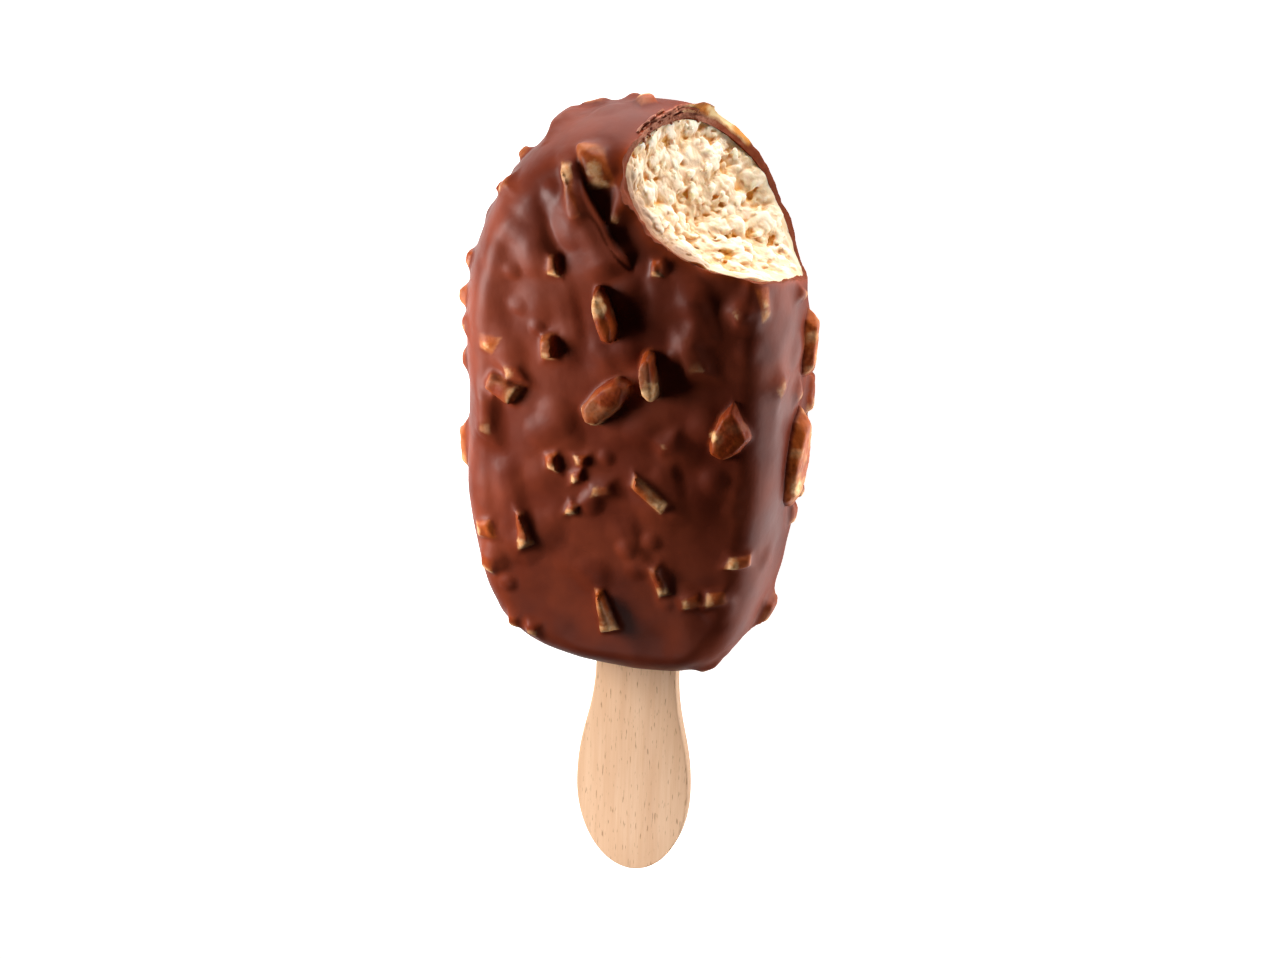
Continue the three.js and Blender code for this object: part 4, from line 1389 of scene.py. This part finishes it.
def mix_colour(tree, factor, first, second):
    inputs = {0: factor, 6: first, 7: second}  # a mix of colours has its sockets there
    return node(tree, "ShaderNodeMix", inputs, data_type="RGBA").outputs[2]


def math_node(tree, operation, first, second=0.0, clamp=False):
    made = node(tree, "ShaderNodeMath", {0: first, 1: second}, operation=operation)
    made.use_clamp = clamp
    return made.outputs[0]


def map_range(tree, value, low, high, to_low=0.0, to_high=1.0):
    inputs = {"Value": value, "From Min": low, "From Max": high, "To Min": to_low, "To Max": to_high}
    return node(tree, "ShaderNodeMapRange", inputs, interpolation_type="SMOOTHSTEP").outputs["Result"]


def noise_node(tree, place, scale, detail=2.0, roughness=0.5):
    inputs = {"Vector": place, "Scale": scale, "Detail": detail, "Roughness": roughness}
    return node(tree, "ShaderNodeTexNoise", inputs).outputs["Fac"]


def attribute_node(tree, name):
    return node(tree, "ShaderNodeAttribute", attribute_name=name).outputs["Fac"]


def object_place(tree):
    return node(tree, "ShaderNodeTexCoord").outputs["Object"]


def bump(tree, height, distance, strength=1.0, normal=None):
    inputs = {"Height": height, "Distance": distance, "Strength": strength}
    if normal is not None:
        inputs["Normal"] = normal
    return node(tree, "ShaderNodeBump", inputs).outputs["Normal"]


def film_group(colours):
    """Shared by the coat and the large almonds: chocolate, the film of it on the nuts, and bare nut."""
    group = bpy.data.node_groups.new("almond_film", "ShaderNodeTree")
    for name, kind in (("Place", "Vector"), ("Shown", "Float"), ("Bare", "Float"), ("Tone", "Float")):
        group.interface.new_socket(name, in_out="INPUT", socket_type=f"NodeSocket{kind}")
    for name, kind in (("Colour", "Color"), ("Roughness", "Float"), ("Relief", "Float")):
        group.interface.new_socket(name, in_out="OUTPUT", socket_type=f"NodeSocket{kind}")
    given = group.nodes.new("NodeGroupInput")
    place, shown, bare, tone = [given.outputs[name] for name in ("Place", "Shown", "Bare", "Tone")]
    cloud = noise_node(group, place, 90.0, 3.0)
    fine = noise_node(group, place, 420.0, 4.0, 0.6)
    speck = noise_node(group, place, 1300.0, 3.0, 0.6)
    clouded = map_range(group, cloud, 0.35, 0.65)
    chocolate = mix_colour(group, clouded, colours.chocolate_dark, colours.chocolate)
    streaks = map_range(group, fine, 0.35, 0.65, 0, 0.35)
    mixed = math_node(group, "ADD", math_node(group, "MULTIPLY", tone, 0.75), streaks)
    film = mix_colour(group, mixed, colours.film, colours.film_light)
    patchy = map_range(group, fine, 0.3, 0.6, 0.6, 1.0)
    coated = mix_colour(group, math_node(group, "MULTIPLY", shown, patchy, clamp=True), chocolate, film)
    nut = mix_colour(group, map_range(group, speck, 0.35, 0.65), colours.almond, colours.almond_dark)
    colour = mix_colour(group, bare, coated, nut)
    satin = map_range(group, cloud, 0.3, 0.7, 0.42, 0.5)
    roughness = math_node(group, "ADD", satin, math_node(group, "MULTIPLY", bare, 0.2))
    relief = math_node(group, "ADD", fine, math_node(group, "MULTIPLY", speck, 0.25))
    node(group, "NodeGroupOutput", {"Colour": colour, "Roughness": roughness, "Relief": relief})
    return group


def film_node(tree, place):
    """The shared film in a material, fed with the values that the mesh carries."""
    group = bpy.data.node_groups.get("almond_film")
    inputs = {name.capitalize(): attribute_node(tree, name) for name in FILM_VALUES}
    return node(tree, "ShaderNodeGroup", {"Place": place, **inputs}, node_tree=group).outputs


def chocolate_material(colours):
    """Milk chocolate with almonds that show through a thin film, and a rough edge where it is broken."""
    material, tree, shader = new_material("almond_chocolate")
    place = object_place(tree)
    film = film_node(tree, place)
    broken = attribute_node(tree, "broken")
    golden = math_node(tree, "MULTIPLY", attribute_node(tree, "golden"), broken)
    grain = noise_node(tree, place, 2600.0, 3.0, 0.6)
    edge = mix_colour(tree, attribute_node(tree, "ledge"), colours.broken, colours.flake)
    edge = mix_colour(tree, map_range(tree, grain, 0.4, 0.7, 0.0, 0.7), edge, colours.chocolate)
    veins = noise_node(tree, place, 380.0, 2.0)
    flesh = mix_colour(tree, map_range(tree, veins, 0.42, 0.58), colours.bitten, colours.golden)
    skin = math_node(tree, "MULTIPLY", attribute_node(tree, "skin"), 0.9)
    flesh = mix_colour(tree, skin, flesh, colours.film_light)
    uneven = map_range(tree, veins, 0.3, 0.6, 0.5, 1.0)
    rim = math_node(tree, "MULTIPLY", attribute_node(tree, "near_rim"), uneven)
    colour = mix_colour(tree, rim, film["Colour"], colours.rim)
    colour = mix_colour(tree, broken, colour, edge)
    colour = mix_colour(tree, golden, colour, flesh)
    soft = bump(tree, noise_node(tree, place, 300.0, 2.0), 0.0002, 0.5)
    relief = bump(tree, film["Relief"], 0.00012, attribute_node(tree, "shown"), soft)
    feed(tree, shader, {
        "Base Color": colour,
        "Roughness": math_node(tree, "ADD", film["Roughness"], math_node(tree, "MULTIPLY", broken, 0.15)),
        "Specular IOR Level": 0.15,
        "Normal": bump(tree, grain, 0.00003, 0.4, relief),
    })
    return material


def flake_material(colours):
    """Broken chocolate: matt and a little paler than the coat."""
    material, tree, shader = new_material("broken_chocolate")
    place = object_place(tree)
    cloud = noise_node(tree, place, 700.0, 3.0, 0.6)
    grain = noise_node(tree, place, 2600.0, 3.0, 0.6)
    feed(tree, shader, {
        "Base Color": mix_colour(tree, map_range(tree, cloud, 0.35, 0.65), colours.chocolate, colours.flake),
        "Roughness": map_range(tree, grain, 0.2, 0.8, 0.5, 0.65),
        "Specular IOR Level": 0.2,
        "Normal": bump(tree, grain, 0.00004, 0.6),
    })
    return material


def ice_cream_material(colours):
    """Vanilla ice cream with painted warm shade in its torn pits, a painted highlight on its highest crumbs,
    and painted shade under the front rim of the bite, partly stained by the chocolate.
    """
    material, tree, shader = new_material("vanilla_ice_cream")
    place = object_place(tree)
    pit = attribute_node(tree, "pit")
    cloud = noise_node(tree, place, 260.0, 4.0, 0.6)
    fine = noise_node(tree, place, 3600.0, 4.0, 0.65)
    warmth = map_range(tree, cloud, 0.3, 0.7)
    light = mix_colour(tree, warmth, colours.ice_cream, colours.ice_cream_warm)
    # Painted shade: points deeper than their surroundings are made darker and yellower.
    colour = mix_colour(tree, map_range(tree, pit, -0.05, 0.6), light, colours.ice_cream_pit_shade)
    # Painted highlight: points higher than their surroundings are paled towards white.
    crest = map_range(tree, pit, -0.02, -0.4, 0.0, 0.95)
    colour = mix_colour(tree, crest, colour, colours.ice_cream_crest_highlight)
    # Painted shade, partly chocolate staining, under the front rim.
    stain = math_node(tree, "MULTIPLY", attribute_node(tree, "stain"), 0.85)
    feed(tree, shader, {
        "Base Color": mix_colour(tree, stain, colour, colours.shade_and_smudge),
        "Roughness": 0.6,
        "Specular IOR Level": 0.3,
        "Subsurface Weight": 0.85,
        "Subsurface Radius": (1.0, 0.8, 0.6),
        "Subsurface Scale": 0.001,
        "Normal": bump(tree, fine, 0.00008, 0.6),
    })
    return material


def almond_material():
    """Roasted almond under a thin film of chocolate, thickest at its foot."""
    material, tree, shader = new_material("filmed_almond")
    film = film_node(tree, object_place(tree))
    feed(tree, shader, {
        "Base Color": film["Colour"],
        "Roughness": film["Roughness"],
        "Specular IOR Level": 0.12,
        "Normal": bump(tree, film["Relief"], 0.0002, 0.8),
    })
    return material


def wood_material(colours):
    """Light beech with fine grain along the stick and short dark pores."""
    material, tree, shader = new_material("beech_stick")
    place = object_place(tree)

    def stretched(across, along, turn=0.0):
        inputs = {"Vector": place, "Scale": (across, along, across), "Rotation": (0.0, 0.0, turn)}
        return node(tree, "ShaderNodeMapping", inputs).outputs["Vector"]

    band = noise_node(tree, stretched(1.0, 0.06), 420.0, 3.0, 0.6)
    fibre = noise_node(tree, stretched(1.0, 0.03), 3200.0, 2.0, 0.6)
    pore = noise_node(tree, stretched(1.0, 0.1), 4600.0, 2.0, 0.5)
    base = mix_colour(tree, map_range(tree, band, 0.3, 0.7), colours.wood, colours.wood_dark)
    fibred = mix_colour(tree, map_range(tree, fibre, 0.35, 0.75, 0.0, 0.5), base, colours.wood_dark)
    pores = map_range(tree, pore, 0.62, 0.7, 0.0, 0.7)
    feed(tree, shader, {
        "Base Color": mix_colour(tree, pores, fibred, colours.wood_pore),
        "Roughness": map_range(tree, fibre, 0.2, 0.8, 0.5, 0.68),
        "Normal": bump(tree, fibre, 0.00006, 0.5),
    })
    return material


# ---------------------------------------------------------------- settings


def length_property(name, description, default):
    return bpy.props.FloatProperty(
        name=name, description=description, default=default, unit="LENGTH", subtype="DISTANCE"
    )


def angle_property(name, description, degrees):
    return bpy.props.FloatProperty(
        name=name, description=description, default=math.radians(degrees), unit="ROTATION", subtype="ANGLE"
    )


def power_property(name, description, default):
    return bpy.props.FloatProperty(name=name, description=description, default=default, unit="POWER")


class BarSettings(bpy.types.PropertyGroup):
    length: length_property("Length", "Length of the bare bar", 0.0837)
    width: length_property("Width", "Width of the bare bar", 0.0477)
    thickness: length_property("Thickness", "Thickness between the two faces", 0.025)
    coat: length_property("Coat", "Thickness of the chocolate", 0.0005)
    coat_top: length_property("Coat at the top", "How much thicker the chocolate is at the top end", 0.0016)
    detail: length_property("Detail", "Size of the coat's smallest faces", 0.0004)
    crumb_detail: length_property("Crumb detail", "Size of the ice cream's smallest faces", 0.00013)


class Sizes:
    """The bar's main sizes in millimetres."""

    def __init__(self, settings):
        self.length = settings.length / MM
        self.width = settings.width / MM
        self.thickness = settings.thickness / MM
        self.coat = settings.coat / MM
        self.coat_top = settings.coat_top / MM


def colour_property(name, description, red, green, blue):
    colour = linear(red, green, blue)
    return bpy.props.FloatVectorProperty(
        name=name, description=description, size=4, min=0, max=1, subtype="COLOR", default=colour
    )


class ColourSettings(bpy.types.PropertyGroup):
    chocolate: colour_property("Chocolate", "Milk chocolate", 118, 49, 27)
    chocolate_dark: colour_property("Dark chocolate", "Thicker patches of the chocolate", 96, 36, 19)
    film: colour_property("Film", "Almond under a thicker film", 124, 42, 12)
    film_light: colour_property("Thin film", "Almond under a thinner film", 172, 84, 32)
    almond: colour_property("Almond", "Bare almond where the film is gone", 246, 204, 152)
    almond_dark: colour_property("Roasted almond", "Darker grains of the bare almond", 228, 166, 106)
    bitten: colour_property("Bitten almond", "Almond that the bite went through", 252, 224, 168)
    golden: colour_property("Golden almond", "Its glassy golden parts", 232, 158, 80)
    rim: colour_property("Rim", "Thin chocolate at the rim of the bite", 150, 56, 12)
    broken: colour_property("Broken chocolate", "The coat where it is broken", 124, 58, 32)
    flake: colour_property("Flakes", "Thin flakes of chocolate", 174, 116, 92)
    ice_cream: colour_property("Ice cream", "Vanilla ice cream", 235, 214, 187)
    ice_cream_warm: colour_property("Warm ice cream", "Creamier patches of the ice cream", 233, 204, 164)
    # Painted warm shade for the ice cream's pits.
    ice_cream_pit_shade: colour_property("Pits", "Deep pits in the ice cream", 228, 170, 88)
    # Painted highlight on the ice cream's highest crumbs.
    ice_cream_crest_highlight: colour_property("Crests", "The ice cream's highest crumbs", 248, 236, 215)
    # Painted shade, partly chocolate staining, on the ice cream under the front rim.
    shade_and_smudge: colour_property("Smudge", "Ice cream that the coat has stained", 124, 66, 36)
    wood: colour_property("Wood", "Pale beech", 228, 188, 152)
    wood_dark: colour_property("Dark wood", "Darker bands of the beech", 216, 172, 134)
    wood_pore: colour_property("Pores", "Short dark pores of the beech", 150, 104, 66)
    floor: colour_property("Floor", "The pale floor", 225, 225, 225)


class StudioSettings(bpy.types.PropertyGroup):
    azimuth: angle_property("Azimuth", "How far the camera stands to the right", 17)
    tilt: angle_property("Tilt", "How far the camera leans over the top end", 24.3)
    roll: angle_property("Roll", "How far the picture is turned", 1.98)
    distance: length_property("Distance", "Distance of the camera", 0.56)
    magnification: bpy.props.FloatProperty(
        name="Magnification", description="Picture points for each millimetre", default=6.97
    )
    key: power_property("Key light", "Strength of the large light from the left", 0.172)
    stick: power_property("Stick light", "Strength of the light over the stick", 0.0115)
    top: power_property("Top light", "Strength of the light beyond the top end", 0.25)
    end: power_property("End light", "Strength of the light on the floor beyond the top end", 0.035)
    flank: power_property("Flank light", "Strength of the light on the floor to the right", 0.055)
    rim: power_property("Rim light", "Strength of the light from the right", 0.31)


# ---------------------------------------------------------------- pieces


class OBJECT_OT_chocolate_coat(bpy.types.Operator):
    """Builds the chocolate coat with its small almonds"""

    bl_idname = "object.chocolate_coat"
    bl_label = "Chocolate Coat"

    def execute(self, context):
        settings = context.scene.bar_settings
        sizes = Sizes(settings)
        origin = frame_origin()
        body = Body(sizes)
        nuts = small_nuts(body)
        large = large_nuts(origin)
        field = CoatField(body, nuts, large, soft_lumps(body))
        step = settings.detail / MM * 1
        places, quads = field_surface(field, COAT_LOW, COAT_HIGH, step)
        places = inside_cad_box(settle(field, places, 0.1), origin)
        coat = mesh_object("almond_chocolate_coat", places, quads)
        cavity = bar_mesh("cavity", sizes, sizes.coat, sizes.coat_top)
        cut_away(coat, cavity)
        break_rule = coat_break(body)
        cut_away(coat, bite_tool("coat_bite", BREAK_DETAIL, break_rule))
        cut_away(coat, stick_blank("slot", SLOT_GAP))
        points = read_vertices(coat.data)
        add_values(coat, FILM_VALUES, film_values(points, body, nuts + large))
        add_values(coat, EDGE_VALUES, broken_values(points, body, break_rule))
        material = chocolate_material(context.scene.bar_colours)
        finish_piece(coat, 45, material, "chocolate", "chocolate_shell")
        return {"FINISHED"}


class OBJECT_OT_chocolate_flakes(bpy.types.Operator):
    """Builds the flakes and crumbs of chocolate at the broken top of the coat"""

    bl_idname = "object.chocolate_flakes"
    bl_label = "Chocolate Flakes"

    def execute(self, context):
        body = Body(Sizes(context.scene.bar_settings))
        random = seeded_random(CRUMB_SEED)
        sheets = [flake_sheet(body, *flake, 200 + 5 * number) for number, flake in enumerate(FLAKES)]
        flakes = merged_object("chocolate_flakes", sheets)
        apply_modifier(flakes, "SOLIDIFY", thickness=FLAKE_THICKNESS * MM, offset=0)
        parts = [(read_vertices(flakes.data), read_faces(flakes.data))]
        for number in range(CRUMB_COUNT):
            up = 6.5 - 15.5 * random()
            across = rim_across(body, up, 0.9 + 1.6 * random() ** 2)
            radius = 0.1 + 0.22 * random() ** 2
            height = bite_height(up, across) + 0.15 + 0.5 * random()
            parts.append(crumb_ball(scoop_places(height, up, across), radius, number))
        bpy.data.objects.remove(flakes)
        flakes = merged_object("chocolate_flakes", parts)
        finish_piece(flakes, 50, flake_material(context.scene.bar_colours), "chocolate")
        return {"FINISHED"}


class OBJECT_OT_ice_cream(bpy.types.Operator):
    """Builds the ice cream with its crumbly bite"""

    bl_idname = "object.vanilla_ice_cream"
    bl_label = "Ice Cream"

    def execute(self, context):
        settings = context.scene.bar_settings
        sizes = Sizes(settings)
        cell = settings.crumb_detail / MM * 1
        inset = sizes.coat + 0.03
        core = bar_mesh("vanilla_ice_cream", sizes, inset, sizes.coat_top, around=96, edge_rows=8)
        torn = TornSurface(Body(sizes), sizes, cell)
        clear = TORN_TO - 3 * cell
        over = bite_tool("over", 0.6, lambda up, across: np.full(len(up), -clear), 16.0, TORN_HALF_ACROSS)
        cut_away(core, over)
        cut_away(core, torn.tool("crumbs"))
        cut_away(core, stick_blank("slot", SLOT_GAP))
        add_values(core, ("pit", "stain"), torn.pits(read_vertices(core.data)))
        material = ice_cream_material(context.scene.bar_colours)
        finish_piece(core, 60, material, "ice_cream", "ice_cream_core")
        return {"FINISHED"}


class OBJECT_OT_large_almonds(bpy.types.Operator):
    """Builds the six large almond pieces"""

    bl_idname = "object.large_almonds"
    bl_label = "Large Almonds"

    def execute(self, context):
        sizes = Sizes(context.scene.bar_settings)
        origin = frame_origin()
        body = Body(sizes)
        film_group(context.scene.bar_colours)
        material = almond_material()
        for name, nut in zip(LARGE_ALMONDS, large_nuts(origin)):
            low, high = [np.array(corner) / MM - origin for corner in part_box(name)]
            places, quads = field_surface(nut.distance, low - 0.5, high + 0.5, ALMOND_DETAIL)
            places = inside_cad_box(settle(nut.distance, places, 0.05), origin)
            piece = mesh_object("filmed_" + name, places, quads)
            add_values(piece, FILM_VALUES, film_values(places, body, [nut]))
            finish_piece(piece, 60, material, "almond", name)
        return {"FINISHED"}


def stick_outline(grow, steps):
    """Half of the stick's outline, from its tip to its inner end."""
    paddle = STICK_PADDLE / 2 + grow
    neck = STICK_NECK / 2 + grow
    tip = STICK_TIP - grow
    widest = STICK_TIP + STICK_PADDLE_ARC
    narrow = widest + STICK_TAPER
    inner = STICK_TIP + STICK_LENGTH + grow
    share = np.linspace(0, 1, steps)
    arc = share * math.pi / 2
    outer = np.stack([paddle * np.sin(arc), widest - (widest - tip) * np.cos(arc)], axis=1)
    rest = 1 - share
    weights = np.stack([rest**3, 3 * share * rest**2, 3 * share**2 * rest, share**3], axis=1)
    handles = np.array([
        [paddle, widest],
        [paddle, widest + 0.45 * STICK_TAPER],
        [neck, narrow - 0.45 * STICK_TAPER],
        [neck, narrow],
    ])
    waist = weights @ handles
    end = np.stack([neck * np.cos(arc), inner - neck + neck * np.sin(arc)], axis=1)
    return np.vstack([outer, waist[1:], end])


def stick_blank(name, grow, steps=24):
    """The stick's outline with a thickness, and no more."""
    right = stick_outline(grow, steps)
    left = right[-2:0:-1] * [-1, 1]
    flat = np.vstack([right, left]) + [STICK_OFFSET, 0]
    thickness = STICK_THICKNESS / 2 + grow
    count = len(flat)
    low = np.column_stack([flat, np.full(count, -thickness)])
    high = np.column_stack([flat, np.full(count, thickness)])
    faces = [list(range(count))[::-1], list(range(count, 2 * count))]
    for k in range(count):
        after = (k + 1) % count
        faces.append([k, after, count + after, count + k])
    blank = mesh_object(name, np.vstack([low, high]), faces)
    face_outwards(blank)
    return blank


class OBJECT_OT_wooden_stick(bpy.types.Operator):
    """Builds the contoured wooden stick"""

    bl_idname = "object.wooden_stick"
    bl_label = "Wooden Stick"

    def execute(self, context):
        stick = stick_blank("beech_stick", 0.0, 40)
        corner = math.radians(60)
        apply_modifier(
            stick, "BEVEL", width=STICK_EDGE * MM, segments=3, limit_method="ANGLE", angle_limit=corner
        )
        finish_piece(stick, 35, wood_material(context.scene.bar_colours), "wood", "stick")
        return {"FINISHED"}


def view_axes(studio):
    """Directions towards the camera, to the picture's right and up, in the bar's axes."""
    a, e, roll = studio.azimuth, studio.tilt, studio.roll
    towards = np.array([math.sin(a) * math.cos(e), math.sin(e), math.cos(a) * math.cos(e)])
    right = np.array([math.cos(a), 0.0, -math.sin(a)])
    up = np.cross(towards, right)
    turned_right = right * math.cos(roll) + up * math.sin(roll)
    turned_up = up * math.cos(roll) - right * math.sin(roll)
    return towards, turned_right, turned_up


def aimed(location, target):
    """A matrix that stands at a place and looks at another."""
    direction = Vector(target) - Vector(location)
    turned = direction.to_track_quat("-Z", "Y").to_matrix().to_4x4()
    return Matrix.Translation(Vector(location)) @ turned


class OBJECT_OT_studio(bpy.types.Operator):
    """Builds the floor, the lights and the camera"""

    bl_idname = "object.studio"
    bl_label = "Studio"

    def execute(self, context):
        scene = context.scene
        studio = scene.bar_studio
        origin = frame_origin()
        towards, right, up = view_axes(studio)
        target = (np.array(CAMERA_TARGET) + origin) * MM
        camera = bpy.data.objects.new("camera", bpy.data.cameras.new("camera"))
        scene.collection.objects.link(camera)
        location = target + studio.distance * towards
        turned = Matrix([[right[k], up[k], towards[k], location[k]] for k in range(3)] + [[0, 0, 0, 1]])
        camera.matrix_world = turned
        camera.data.sensor_fit = "HORIZONTAL"
        camera.data.sensor_width = SENSOR_WIDTH
        camera.data.lens = studio.magnification * studio.distance / MM / PICTURE_WIDTH * SENSOR_WIDTH
        camera.data.clip_start = CLIP_START
        scene.camera = camera

        bpy.ops.object.select_all(action="DESELECT")
        bpy.ops.mesh.primitive_plane_add(size=FLOOR_SIZE, location=(0, 0, 0))
        floor = context.object
        floor.name = "floor"
        material, tree, shader = new_material("pale_floor")
        seen = node(tree, "ShaderNodeLightPath").outputs["Is Camera Ray"]
        feed(tree, shader, {
            "Base Color": scene.bar_colours.floor,
            "Roughness": 0.9,
            "Specular IOR Level": 0.1,
            "Emission Color": (1, 1, 1, 1),
            "Emission Strength": map_range(tree, seen, 0.0, 1.0, FLOOR_GLOW, 1.0),
        })
        floor.data.materials.append(material)

        for name, place, aim, sides, colour, spread in LIGHTS:
            data = bpy.data.lights.new(name + "_light", "AREA")
            data.shape = "RECTANGLE"
            data.size = sides[0] * MM
            data.size_y = sides[1] * MM
            data.energy = getattr(studio, name)
            data.spread = math.radians(spread)
            data.color = colour
            light = bpy.data.objects.new(name + "_light", data)
            scene.collection.objects.link(light)
            light.visible_camera = False
            light.matrix_world = aimed(np.array(place) * MM, np.array(aim) * MM)

        world = bpy.data.worlds.new("studio")
        world.use_nodes = True
        background = world.node_tree.nodes["Background"]
        feed(world.node_tree, background, {"Color": WORLD_COLOUR, "Strength": WORLD_STRENGTH})
        scene.world = world
        scene.view_settings.view_transform = "Standard"
        return {"FINISHED"}


class VIEW3D_PT_ice_cream_bar(bpy.types.Panel):
    bl_label = "Ice Cream Bar"
    bl_space_type = "VIEW_3D"
    bl_region_type = "UI"
    bl_category = "Ice Cream Bar"

    def draw(self, context):
        layout = self.layout
        for settings in (context.scene.bar_settings, context.scene.bar_colours, context.scene.bar_studio):
            box = layout.box()
            for name in settings.bl_rna.properties.keys():
                if name not in ("rna_type", "name"):
                    box.prop(settings, name)
        for operator in STEPS:
            layout.operator(operator)


STEPS = (
    "object.wooden_stick",
    "object.large_almonds",
    "object.vanilla_ice_cream",
    "object.chocolate_coat",
    "object.chocolate_flakes",
    "object.studio",
)
CLASSES = (
    BarSettings,
    ColourSettings,
    StudioSettings,
    OBJECT_OT_chocolate_coat,
    OBJECT_OT_chocolate_flakes,
    OBJECT_OT_ice_cream,
    OBJECT_OT_large_almonds,
    OBJECT_OT_wooden_stick,
    OBJECT_OT_studio,
    VIEW3D_PT_ice_cream_bar,
)


def register():
    for kind in CLASSES:
        bpy.utils.register_class(kind)
    bpy.types.Scene.bar_settings = bpy.props.PointerProperty(type=BarSettings)
    bpy.types.Scene.bar_colours = bpy.props.PointerProperty(type=ColourSettings)
    bpy.types.Scene.bar_studio = bpy.props.PointerProperty(type=StudioSettings)


def unregister():
    del bpy.types.Scene.bar_settings
    del bpy.types.Scene.bar_colours
    del bpy.types.Scene.bar_studio
    for kind in reversed(CLASSES):
        bpy.utils.unregister_class(kind)


def main():
    register()
    bpy.ops.object.select_all(action="DESELECT")
    for step in STEPS:
        group, name = step.split(".")
        getattr(getattr(bpy.ops, group), name)()


if __name__ == "__main__":
    main()
